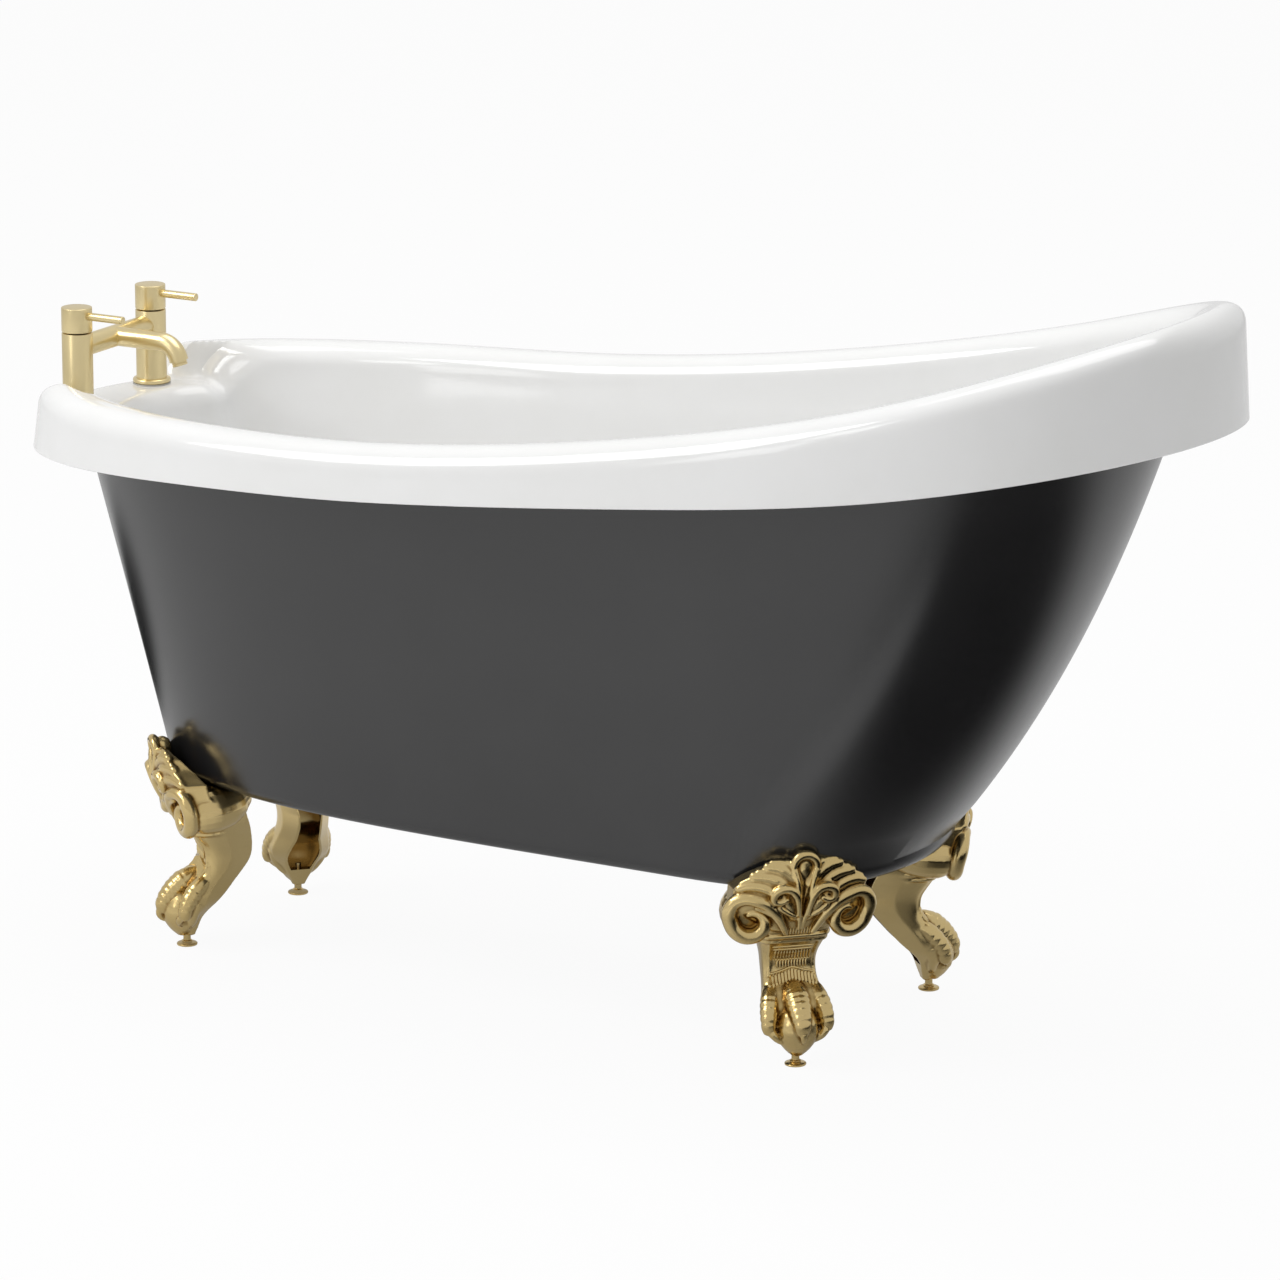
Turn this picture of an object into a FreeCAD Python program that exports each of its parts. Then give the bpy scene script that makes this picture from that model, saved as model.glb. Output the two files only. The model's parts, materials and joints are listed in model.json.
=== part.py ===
import FreeCAD, Part
import math
import os

os.makedirs("parts", exist_ok=True)
V = FreeCAD.Vector
UP = V(0, 0, 1)
DOWN = V(0, 0, -1)
ALONG = V(1, 0, 0)
ACROSS = V(0, 1, 0)

# Freestanding slipper bath. X runs along the tub from the tap end to the high
# end, Z is up and the floor is at zero. All sizes are millimetres.
tub_length = 1550.0
tub_width = 630.0
tap_edge_height = 592.0
slipper_edge_rise = 162.0
tap_rim_depth = 85.0
slipper_rim_depth = 131.0
widest_share = 0.09
edge_rise_shares = (0.0, 0.141, 0.247, 0.429, 0.665, 1.0)
crest_rise_shares = (0.0, 0.016, 0.074, 0.259, 0.557, 1.0)
rim_tap_power = 3.98
rim_slipper_power = 3.29
overrun = 20.0

# White inner shell with its rolled rim.
shell_wall = 6.0
rim_flare = 6.0
crest_radius = 30.0
crest_flat = 6.0
inner_roll = 28.0
deck_drop = 42.5
deck_margin = 4.3
deck_blend = 36.0
deck_flat = 56.0
deck_roll = 20.0
spot_face_depth = 0.3
basin_tap_inset = 200.0
basin_side_inset = 140.0
basin_slipper_inset = 395.0
basin_floor_round = 60.0
basin_rise_shares = (0.32, 0.49, 0.66, 0.83, 1.0)
basin_slipper_shares = (0.0, 0.268, 0.484, 0.664, 0.813, 1.0)
basin_tap_power = 3.9
basin_slipper_power = 4.0

# Dark outer skin with a return flange under the rim.
skin_wall = 5.0
skin_bottom_height = 208.0
skin_tap_inset_bottom = 171.4
skin_tap_inset_top = 71.5
skin_side_inset_bottom = 111.3
skin_side_inset_top = 38.5
skin_slipper_inset_bottom = 380.4
skin_slipper_inset_top = 92.8
skin_slipper_shares = (1.46, -0.575, 0.115)
skin_rise_shares = (0.24, 0.43, 0.62, 0.81, 1.0)
skin_tap_power = 3.85
skin_slipper_power = 4.1
skin_corner_round = 22.0
flange_edge_inset = 11.0
flange_rise = 3.0
flange_wall = 4.0
bond_width = 10.0
bond_height = 6.0
bond_gap = 0.2

# Board laid between the two skins under the basin floor.
board_thickness = 18.0
board_tap_inset = 18.0
board_side_inset = 20.0
board_slipper_inset = 8.0
pocket_gap = 0.1

# Claw feet: u points outward from the corner, v is sideways.
tap_foot_inset = 246.0
tap_foot_side_inset = 191.3
slipper_foot_inset = 447.3
slipper_foot_side_inset = 150.8
foot_turn = 45.0
foot_width = 170.0
leaf_rise = 56.0
leaf_drop = 36.0
foot_wall = 7.0
foot_seat_gap = 0.3
foot_boss_height = 13.0
leg_reach = 79.0
leg_half_width = 46.0
leg_height_shares = (0.0, 0.046, 0.123, 0.17, 0.22, 0.267, 0.318, 0.374, 0.426, 0.477, 0.538, 0.6,
                     0.66, 0.703, 0.78, 0.856, 1.0)
leg_front_shares = (0.1, 0.2, 0.32, 0.38, 0.39, 0.36, 0.28, 0.1, -0.13, -0.2, -0.23, -0.19,
                    -0.06, 0.03, 0.18, 0.24, 0.05)
leg_back_shares = (-0.1, -0.16, -0.19, -0.27, -0.41, -0.53, -0.64, -0.76, -0.87, -0.96, -1.0, -0.99,
                   -0.97, -0.95, -0.9, -0.86, -0.8)
leg_width_shares = (0.16, 0.28, 0.57, 0.74, 0.85, 0.88, 0.85, 0.78, 0.72, 0.7, 0.7, 0.76,
                    0.87, 0.91, 0.95, 0.98, 1.0)
leg_power = 3.0
hollow_floor_height = 46.0
leaf_wall = 9.0
leaf_radius = 150.0
leaf_height_shares = (0.0, 0.25, 0.5, 0.75, 1.0)
leaf_front = 38.0
leaf_front_shares = (0.45, 0.83, 1.0, 1.03, 0.92)
leaf_shoulder_shares = ((1.0, 0.1), (0.96, 0.32), (0.8, 0.55), (0.55, 0.74), (0.3, 0.86), (0.14, 0.97))
bulb_radius = 15.0
volute_radius = 24.0
volute_depth = 40.0
volute_drop = 38.0
volute_out = 59.0
volute_set = 10.0
volute_bead = 6.5
collar_drop = 58.0
collar_half_width = 43.0
collar_bead = 5.0
toe_radius = 11.5
toe_spacing = 27.0
toe_arc_radius = 24.0
toe_arc_angle = 115.0
toe_centre_height = 60.0
toe_centre_out = 2.0
claw_radius = 6.0
claw_length = 15.0
seat_plate = 8.0
seat_plate_length = 62.0
seat_plate_width = 84.0
seat_plate_out = 4.0

# Foot fixings: bolts from below into tee nuts on top of the board.
bolt_diameter = 8.0
bolt_length = 30.0
bolt_head_diameter = 13.0
bolt_head_height = 5.3
bolt_back = 44.0
bolt_half_spacing = 20.0
bolt_clearance = 0.5
washer_diameter = 18.0
washer_thickness = 1.6
tee_nut_diameter = 20.0
tee_nut_flange = 2.0
tee_nut_barrel = 11.0
tee_nut_length = 12.0

# Levelling stems under the feet.
stem_diameter = 9.0
stem_length = 38.0
stem_fit = 0.08
stem_collar_diameter = 13.0
stem_collar_height = 2.0
pad_diameter = 25.0
pad_thickness = 4.0
pad_dish = 1.5
pad_socket_depth = 2.0

# Bath filler on the tap deck.
tap_inset = 73.0
tap_half_spacing = 78.7
pillar_diameter = 37.0
pillar_height = 90.5
pillar_bore = 27.0
pillar_floor = 12.0
base_ring_diameter = 46.0
base_ring_height = 6.0
base_ring_fit = 0.1
deck_seal_thickness = 2.0
tail_diameter = 26.4
tail_bore = 18.0
tail_gap = 3.0
tap_hole_clearance = 1.3
back_nut_width = 36.0
back_nut_height = 8.0
fibre_washer_thickness = 2.0
fibre_washer_diameter = 38.0
thread_fit = 0.1
valve_fit = 0.1
spindle_diameter = 8.0
spindle_rise = 20.0
spindle_fit = 0.05
groove_width = 1.5
handle_height = 29.3
lever_diameter = 9.6
lever_reach = 67.0
lever_below_top = 9.8
lever_socket_depth = 6.0
grub_diameter = 4.0
grub_length = 9.0
bridge_diameter = 26.0
bridge_height = 71.5
bridge_wall = 2.5
spout_diameter = 23.0
spout_wall = 2.0
spout_reach = 93.0
spout_bend_radius = 26.0
spout_bend_angle = 72.0
spout_tail = 3.0
aerator_diameter = 18.5
aerator_length = 9.0
aerator_depth = 3.0
aerator_lip = 3.0

# Waste, click plug and overflow at the tap end.
waste_inset = 400.0
waste_diameter = 46.0
waste_outlet_diameter = 47.8
waste_outlet_length = 12.0
waste_bore = 38.0
waste_hole_clearance = 2.0
waste_flange_diameter = 72.0
waste_flange_thickness = 3.0
waste_seal_thickness = 2.0
waste_length = 76.0
waste_nut_width = 66.0
waste_nut_height = 9.0
waste_spider_height = 6.0
waste_spider_drop = 24.0
waste_spider_bite = 1.0
plug_diameter = 62.0
plug_thickness = 6.0
plug_gap = 0.4
plug_stem_diameter = 8.0
plug_stem_length = 46.0
plug_stem_fit = 0.05
overflow_drop = 89.5
overflow_rose_diameter = 46.0
overflow_rose_thickness = 5.0
overflow_seat = 2.5
overflow_slot_width = 5.0
overflow_slot_length = 24.0
overflow_slot_spacing = 10.0
overflow_spigot_diameter = 20.0
overflow_hole_clearance = 1.0
overflow_socket_diameter = 22.0
overflow_socket_length = 26.0
overflow_bore = 12.0
pipe_diameter = 16.0
pipe_wall = 2.0
pipe_gap = 0.2
pipe_knee_height = 300.0
pipe_turn_height = 264.0
pipe_entry_height = 232.0
pipe_foot_inset = 201.0
pipe_run_height = 184.0
pipe_hole_clearance = 3.0

half_length = tub_length / 2
half_width = tub_width / 2
slipper_edge_height = tap_edge_height + slipper_edge_rise
tap_crest_height = tap_edge_height + tap_rim_depth
slipper_crest_height = slipper_edge_height + slipper_rim_depth
deck_height = tap_crest_height - deck_drop
deck_half_width = tap_half_spacing + base_ring_diameter / 2 + deck_margin
overflow_height = deck_height - overflow_drop
widest_x = widest_share * tub_length
floor_height = skin_bottom_height + skin_wall + board_thickness + shell_wall
board_bottom = skin_bottom_height + skin_wall
board_top = board_bottom + board_thickness
tap_x = tap_inset - half_length
waste_x = waste_inset - half_length
foot_leaf_height = skin_bottom_height + leaf_rise
leaf_base_height = skin_bottom_height - leaf_drop
volute_height = skin_bottom_height - volute_drop
collar_height = skin_bottom_height - collar_drop
half_turn = math.degrees(math.pi)

station_shares = (0.0, 0.012, 0.024, 0.036, 0.046, 0.053, 0.06, 0.067, 0.074, 0.081, 0.088, 0.096,
                  0.106, 0.12, 0.138, 0.16, 0.19, 0.23, 0.28, 0.34, 0.4, 0.46, 0.52, 0.58, 0.64,
                  0.7, 0.75, 0.8, 0.84, 0.88, 0.91, 0.94, 0.97, 1.0)
outline_steps = 240
quarter_turns = [math.pi / 2 * (1 - k / 4) for k in range(5)]


def save(shape, name):
    """Write one node."""
    shape.exportStep("parts/" + name + ".step")


def blend(low, high, share):
    """Value between two ends."""
    return low + (high - low) * share


def ease(share):
    """Soft step from 0 to 1."""
    held = max(0.0, min(1.0, share))
    return held * held * held * (10 - 15 * held + 6 * held * held)


def curve_share(shares, place):
    """Smooth curve through evenly spaced shares, place running from 0 to 1."""
    last = len(shares) - 1
    spot = max(0.0, min(1.0, place)) * last
    i = min(int(spot), last - 1)
    f = spot - i
    before = shares[i - 1] if i > 0 else 2 * shares[0] - shares[1]
    after = shares[i + 2] if i + 2 <= last else 2 * shares[last] - shares[last - 1]
    rise_in = (shares[i + 1] - before) / 2
    rise_out = (after - shares[i]) / 2
    step = shares[i + 1] - shares[i]
    return shares[i] + f * (rise_in + f * (3 * step - 2 * rise_in - rise_out
                                           + f * (rise_in + rise_out - 2 * step)))


def edge_height(x):
    """Height of the rim's lower edge at a place along the tub."""
    return blend(tap_edge_height, slipper_edge_height,
                 curve_share(edge_rise_shares, (x + half_length) / tub_length))


def crest_height(x, y):
    """Height of the rim's crest, which dips to the flat tap deck between the taps."""
    crest_run = tub_length - 2 * (rim_flare + crest_radius)
    crest = blend(tap_crest_height, slipper_crest_height,
                  curve_share(crest_rise_shares, x / crest_run + 0.5))
    if x > widest_x:
        return crest
    return blend(deck_height, crest, ease((abs(y) - deck_half_width) / deck_blend))


def ring_points(insets, powers, height):
    """Points of one closed ring around the tub.

    insets are distances inward from the rim's outer edge at the tap end, sides
    and slipper end; powers shape the two ends; height gives z from x and y.
    """
    tap_reach = widest_x + half_length - insets[0]
    slipper_reach = half_length - widest_x - insets[2]
    wide = half_width - insets[1]
    table = []
    for i in range(outline_steps + 1):
        turn = math.pi * (1 - i / outline_steps)
        side = math.cos(turn)
        if side < 0:
            x = widest_x - tap_reach * abs(side) ** (2 / powers[0])
        else:
            x = widest_x + slipper_reach * abs(side) ** (2 / powers[1])
        table.append((x, wide * math.sin(turn)))
    run = [0.0]
    for a, b in zip(table, table[1:]):
        run.append(run[-1] + math.hypot(b[0] - a[0], b[1] - a[1]))
    half = []
    k = 0
    for share in station_shares:
        goal = share * run[-1]
        while k < outline_steps - 1 and run[k + 1] < goal:
            k += 1
        f = (goal - run[k]) / (run[k + 1] - run[k])
        (x0, y0), (x1, y1) = table[k], table[k + 1]
        half.append((blend(x0, x1, f), max(0.0, blend(y0, y1, f))))
    half[0] = (half[0][0], 0.0)
    half[-1] = (half[-1][0], 0.0)
    loop = half + [(x, -y) for x, y in reversed(half[1:-1])]
    return [V(x, y, height(x, y)) for x, y in loop]


def ring_wire(insets, powers, height):
    """One closed smooth wire around the tub."""
    places = list(station_shares) + [2 - s for s in reversed(station_shares[:-1])]
    curve = Part.BSplineCurve()
    curve.interpolate(Points=ring_points(insets, powers, height), PeriodicFlag=True, Parameters=places)
    return Part.Wire([curve.toShape()])


def skin_of(wires, ruled=False):
    """Faces of a loft through ring wires."""
    return Part.makeLoft(wires, False, ruled).Faces


def closed_solid(faces):
    """Solid from faces that meet edge to edge."""
    joined = Part.makeCompound(faces)
    joined.sewShape()
    body = Part.makeSolid(joined.Shells[0])
    if body.Volume < 0:
        body.reverse()
    return body


def rod(radius, height, base, direction=UP):
    """Round bar."""
    return Part.makeCylinder(radius, height, base, direction)


def tube(outer, inner, height, base, direction=UP):
    """Round bar with a hole through it."""
    past = direction * overrun
    return rod(outer, height, base, direction).cut(rod(inner, height + 2 * overrun, base - past, direction))


def bent_bar(bend_radius, radius, angle, centre):
    """Round bar bent in the upright plane, from the top of the bend forward and down."""
    bend = Part.makeTorus(bend_radius, radius, V(0, 0, 0), UP, 0, 360, angle)
    bend.rotate(V(0, 0, 0), UP, 90 - angle)
    bend.rotate(V(0, 0, 0), ALONG, 90)
    bend.translate(centre)
    return bend


def hexagon(width, height, base):
    """Six-sided bar, measured across its corners."""
    corners = [base + V(width / 2 * math.cos(k * math.pi / 3), width / 2 * math.sin(k * math.pi / 3), 0)
               for k in range(6)]
    return Part.Face(Part.makePolygon(corners + corners[:1])).extrude(V(0, 0, height))


def fused(shapes):
    """One solid from pieces that run into each other."""
    return shapes[0].multiFuse(shapes[1:]).removeSplitter()


def same(inset):
    """Equal inset all round."""
    return (inset, inset, inset)


def below_crest(drop):
    """Height function a fixed drop under the crest."""
    return lambda x, y: crest_height(x, y) - drop


def above_edge(rise):
    """Height function a fixed rise over the rim's lower edge."""
    return lambda x, y: edge_height(x) + rise


def level(z):
    """Height function of a flat ring."""
    return lambda x, y: z


# Rim and basin, as rings from the lower edge over the crest and down to the floor.
rim_powers = (rim_tap_power, rim_slipper_power)
basin_powers = (basin_tap_power, basin_slipper_power)
crest_in = rim_flare + crest_radius
crest_insets = (crest_in + deck_flat, crest_in + crest_flat, crest_in + crest_flat)
mouth_insets = (crest_insets[0] + deck_roll, crest_insets[1] + inner_roll, crest_insets[2] + inner_roll)
floor_insets = (basin_tap_inset, basin_side_inset, basin_slipper_inset)


def crest_ring(turn, wall):
    """Ring on the outer half of the rolled crest, a wall thickness below its face."""
    reach = crest_radius - wall
    return ring_wire(same(crest_in - reach * math.cos(turn)), rim_powers,
                     below_crest(crest_radius - reach * math.sin(turn)))


def roll_ring(turn, wall):
    """Ring on the inner half of the roll, a wall thickness below its face."""
    swing = math.cos(turn)
    insets = (crest_insets[0] + (deck_roll - wall) * swing, crest_insets[1] + (inner_roll - wall) * swing,
              crest_insets[2] + (inner_roll - wall) * swing)
    return ring_wire(insets, rim_powers, below_crest(inner_roll - (inner_roll - wall) * math.sin(turn)))


def wall_ring(share, wall):
    """Ring on the basin wall at a share of the way from floor to mouth."""
    slide = curve_share(basin_slipper_shares, share)
    insets = (blend(floor_insets[0], mouth_insets[0], share) - wall,
              blend(floor_insets[1], mouth_insets[1], share) - wall,
              blend(floor_insets[2], mouth_insets[2], slide) - wall)
    powers = (blend(basin_powers[0], rim_powers[0], share), blend(basin_powers[1], rim_powers[1], share))
    return ring_wire(insets, powers,
                     lambda x, y: blend(floor_height, crest_height(x, y) - inner_roll, share))


def floor_ring(turn, wall):
    """Ring on the rounded foot of the basin wall."""
    bend = basin_floor_round + wall
    share = basin_floor_round / (deck_height - inner_roll - floor_height)
    high_run = slipper_crest_height - inner_roll - floor_height
    slide = curve_share(basin_slipper_shares, basin_floor_round / high_run)
    tuck = basin_floor_round - bend * math.cos(turn)
    insets = (blend(floor_insets[0], mouth_insets[0], share) + tuck,
              blend(floor_insets[1], mouth_insets[1], share) + tuck,
              blend(floor_insets[2], mouth_insets[2], slide) + tuck)
    return ring_wire(insets, basin_powers,
                     level(floor_height + basin_floor_round - bend * math.sin(turn)))


def basin_faces(wall, lip):
    """Faces over one side of the shell, from the floor over the crest to the lip."""
    bend = [floor_ring(turn, wall) for turn in quarter_turns]
    side = [bend[-1]] + [wall_ring(s, wall) for s in basin_rise_shares]
    roll = [side[-1]] + [roll_ring(turn, wall) for turn in reversed(quarter_turns[:-1])]
    crest = [crest_ring(turn, wall) for turn in quarter_turns]
    faces = [Part.Face(bend[0])]
    for group in (bend, side, roll, crest):
        faces += skin_of(group)
    return faces + skin_of([roll[-1], crest[0]], True) + skin_of([crest[-1], lip], True)


lip_outer = ring_wire(same(0.0), rim_powers, above_edge(0.0))
lip_inner = ring_wire(same(shell_wall), rim_powers, above_edge(0.0))
bath_shell = closed_solid(basin_faces(0.0, lip_outer) + skin_of([lip_outer, lip_inner], True)
                          + basin_faces(shell_wall, lip_inner))


# Outer skin.
skin_powers = (skin_tap_power, skin_slipper_power)


def skin_insets(share, wall):
    """Insets of the outer skin at a share of the way from its bottom to the rim's edge."""
    climb = sum(c * share ** (n + 1) for n, c in enumerate(skin_slipper_shares))
    return (blend(skin_tap_inset_bottom, skin_tap_inset_top, share) + wall,
            blend(skin_side_inset_bottom, skin_side_inset_top, share) + wall,
            blend(skin_slipper_inset_bottom, skin_slipper_inset_top, climb) + wall)


def skin_ring(share, wall, rise=0.0):
    """Ring on the outer skin, level with a share of the rim edge's height."""
    return ring_wire(skin_insets(share, wall), skin_powers,
                     lambda x, y: blend(skin_bottom_height, edge_height(x), share) + rise)


def skin_foot_ring(turn, wall):
    """Ring on the rounded lower corner of the skin."""
    bend = skin_corner_round - wall
    share = skin_corner_round / (tap_edge_height - skin_bottom_height)
    climb = skin_slipper_shares[0] * skin_corner_round / (slipper_edge_height - skin_bottom_height)
    tuck = skin_corner_round - bend * math.cos(turn)
    insets = (blend(skin_tap_inset_bottom, skin_tap_inset_top, share) + tuck,
              blend(skin_side_inset_bottom, skin_side_inset_top, share) + tuck,
              blend(skin_slipper_inset_bottom, skin_slipper_inset_top, climb) + tuck)
    return ring_wire(insets, skin_powers,
                     level(skin_bottom_height + skin_corner_round - bend * math.sin(turn)))


def skin_faces(wall, rise, count):
    """Faces over one side of the skin from its flat bottom up, and its last ring."""
    bend = [skin_foot_ring(turn, wall) for turn in quarter_turns]
    side = [bend[-1]] + [skin_ring(s, wall, rise * s) for s in skin_rise_shares[:count]]
    return [Part.Face(bend[0])] + skin_of(bend) + skin_of(side), side[-1]


skin_out, skin_out_top = skin_faces(0.0, flange_rise, len(skin_rise_shares))
skin_in, skin_in_top = skin_faces(skin_wall, flange_rise + flange_wall, len(skin_rise_shares))
flange_low = ring_wire(same(flange_edge_inset), rim_powers, above_edge(flange_rise))
flange_high = ring_wire(same(flange_edge_inset), rim_powers, above_edge(flange_rise + flange_wall))
outer_skin = closed_solid(skin_out + skin_in
                          + skin_of([skin_out_top, flange_low, flange_high, skin_in_top], True))

# Filled form of the skin, a little larger, that the feet are trimmed to.
block_sides, block_ring = skin_faces(-foot_seat_gap, 0.0, 2)
block_top = ring_wire(skin_insets(skin_rise_shares[1], -foot_seat_gap), skin_powers,
                      level(slipper_crest_height))
skin_block = closed_solid(block_sides + skin_of([block_ring, block_top], True) + [Part.Face(block_top)])
skin_block.translate(V(0, 0, foot_seat_gap))


# Bonding bead between the return flange and the inside of the rim.
bond_base = flange_rise + flange_wall + bond_gap
bond_corners = [
    ring_wire(same(flange_edge_inset + shell_wall / 4), rim_powers, above_edge(bond_base)),
    ring_wire(same(flange_edge_inset + shell_wall / 4 + bond_width), rim_powers, above_edge(bond_base)),
    ring_wire(same(flange_edge_inset + shell_wall / 2), rim_powers, above_edge(bond_base + bond_height))]
rim_bond = closed_solid(skin_of(bond_corners[:2], True) + skin_of(bond_corners[1:], True)
                        + skin_of([bond_corners[2], bond_corners[0]], True))


# Board under the basin floor.
board_insets = (skin_tap_inset_bottom + board_tap_inset, skin_side_inset_bottom + board_side_inset,
                skin_slipper_inset_bottom + board_slipper_inset)
base_board = closed_solid(
    [Part.Face(ring_wire(board_insets, skin_powers, level(board_bottom))),
     Part.Face(ring_wire(board_insets, skin_powers, level(board_top)))]
    + skin_of([ring_wire(board_insets, skin_powers, level(board_bottom)),
               ring_wire(board_insets, skin_powers, level(board_top))], True))


# Claw foot, modelled about its own stem with u along X, then turned to its corner.
def leg_ring(k, wall, back_past):
    """Closed horizontal ring of the leg at one station."""
    z = foot_boss_height + (skin_bottom_height - foot_boss_height) * leg_height_shares[k]
    ahead = leg_reach * leg_front_shares[k] - wall
    behind = leg_reach * leg_back_shares[k] - back_past
    wide = leg_half_width * leg_width_shares[k] - wall
    points = []
    count = 24
    for i in range(count):
        turn = 2 * math.pi * i / count
        c = math.cos(turn)
        s = math.sin(turn)
        points.append(V(blend(behind, ahead, (1 + math.copysign(abs(c) ** (2 / leg_power), c)) / 2),
                        wide * math.copysign(abs(s) ** (2 / leg_power), s), z))
    curve = Part.BSplineCurve()
    curve.interpolate(Points=points, PeriodicFlag=True, Parameters=[i / count for i in range(count + 1)])
    return Part.Wire([curve.toShape()])


def leg_solid(first, wall, back_past):
    """Leg through its stations."""
    rings = [leg_ring(k, wall, back_past) for k in range(first, len(leg_height_shares))]
    return Part.makeLoft(rings, True, True)


def toe(v):
    """One bent toe with its claw, gripping the ball."""
    centre = V(toe_centre_out, v, toe_centre_height)
    start = math.radians(90 - toe_arc_angle)
    bend = bent_bar(toe_arc_radius, toe_radius, toe_arc_angle, centre)
    tip = centre + V(toe_arc_radius * math.cos(start), 0, toe_arc_radius * math.sin(start))
    knuckle = centre + V(0, 0, toe_arc_radius)
    along_tip = V(math.sin(start), 0, -math.cos(start))
    claw = Part.makeCone(claw_radius, claw_radius / 4, claw_length, tip, along_tip)
    return [bend, Part.makeSphere(toe_radius, tip), Part.makeSphere(toe_radius, knuckle), claw]


def leaf_solid():
    """Curved leaf shield that stands in front of the skin's corner."""
    outer = []
    inner = []
    for share, ahead in zip(leaf_height_shares, leaf_front_shares):
        z = blend(leaf_base_height, foot_leaf_height, share)
        centre = V(leaf_front * ahead - leaf_radius, 0, z)
        outer.append(Part.Wire([Part.makeCircle(leaf_radius, centre)]))
        inner.append(Part.Wire([Part.makeCircle(leaf_radius - leaf_wall, centre)]))
    shield = Part.makeLoft(outer, True, False).cut(Part.makeLoft(inner, True, False))
    right = [V(0, foot_width / 2 * a, blend(leaf_base_height, foot_leaf_height, b))
             for a, b in leaf_shoulder_shares]
    left = [V(0, -p.y, p.z) for p in reversed(right)]
    base = [V(0, -foot_width / 2, leaf_base_height), V(0, foot_width / 2, leaf_base_height)]
    face = Part.Face(Part.makePolygon(base + right + left + base[:1]))
    face.translate(V(-foot_width / 2, 0, 0))
    return shield.common(face.extrude(V(foot_width, 0, 0)))


def volute(side):
    """Scroll at one side of the foot."""
    face = V(volute_set, side * volute_out, volute_height)
    drum = rod(volute_radius - volute_bead / 2, volute_depth, face, -ALONG)
    rims = [Part.makeTorus(volute_radius - volute_bead, volute_bead, face, ALONG),
            Part.makeTorus(volute_radius - volute_bead, volute_bead, face - ALONG * volute_depth, ALONG),
            Part.makeSphere(volute_bead, face)]
    return [drum] + rims


def make_foot():
    """Hollow cast foot: leg open at the back, leaf, scrolls, collar, toes and seat plate."""
    leg = leg_solid(0, 0.0, 0.0)
    first = next(k for k, s in enumerate(leg_height_shares)
                 if foot_boss_height + (skin_bottom_height - foot_boss_height) * s >= hollow_floor_height)
    hollow = leg_solid(first, foot_wall, overrun)
    bulb = V(leaf_front * leaf_front_shares[-1] - leaf_wall / 2, 0, foot_leaf_height - bulb_radius)
    extras = [leaf_solid(), Part.makeSphere(bulb_radius, bulb)]
    for side in (-1, 1):
        extras += volute(side)
        extras += toe(side * toe_spacing)
    extras += toe(0.0)
    extras.append(rod(collar_bead, 2 * collar_half_width, V(0, -collar_half_width, collar_height), ACROSS))
    plate = Part.makeBox(seat_plate_length, seat_plate_width, seat_plate,
                         V(seat_plate_out - seat_plate_length, -seat_plate_width / 2,
                           skin_bottom_height - seat_plate))
    core = leg.multiFuse(extras).cut(hollow)
    return core.fuse(plate)


def place(shape, x, y, turn):
    """Turn a foot piece to its corner and set it there."""
    moved = shape.copy()
    moved.rotate(V(0, 0, 0), UP, turn)
    moved.translate(V(x, y, 0))
    return moved


tap_foot_x = tap_foot_inset - half_length
tap_foot_y = half_width - tap_foot_side_inset
slipper_foot_x = half_length - slipper_foot_inset
slipper_foot_y = half_width - slipper_foot_side_inset
foot_places = {
    "tap_near": (tap_foot_x, -tap_foot_y, foot_turn - half_turn),
    "tap_far": (tap_foot_x, tap_foot_y, half_turn - foot_turn),
    "slipper_near": (slipper_foot_x, -slipper_foot_y, -foot_turn),
    "slipper_far": (slipper_foot_x, slipper_foot_y, foot_turn)}
bolt_spots = [V(-bolt_back, side * bolt_half_spacing, 0) for side in (-1, 1)]
seat_under = skin_bottom_height - seat_plate
stem_base = pad_thickness - pad_socket_depth
stem_hole = rod(stem_diameter / 2 + stem_fit, stem_length + 2 * overrun, V(0, 0, -overrun))
bolt_holes = [rod(bolt_diameter / 2 + bolt_clearance, board_top - seat_under + 2 * overrun,
                  p + UP * (seat_under - overrun)) for p in bolt_spots]
foot_blank = make_foot().cut(Part.makeCompound([stem_hole] + bolt_holes))

stem = rod(stem_diameter / 2, stem_length, V(0, 0, stem_base))
stem = stem.fuse(rod(stem_collar_diameter / 2, stem_collar_height, V(0, 0, pad_thickness)))
pad = rod(pad_diameter / 2, pad_thickness - pad_dish, V(0, 0, 0))
pad = pad.fuse(Part.makeCone(pad_diameter / 2, stem_collar_diameter / 2, pad_dish,
                             V(0, 0, pad_thickness - pad_dish)))
pad = pad.cut(rod(stem_diameter / 2 + stem_fit, pad_thickness, V(0, 0, stem_base)))

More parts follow.
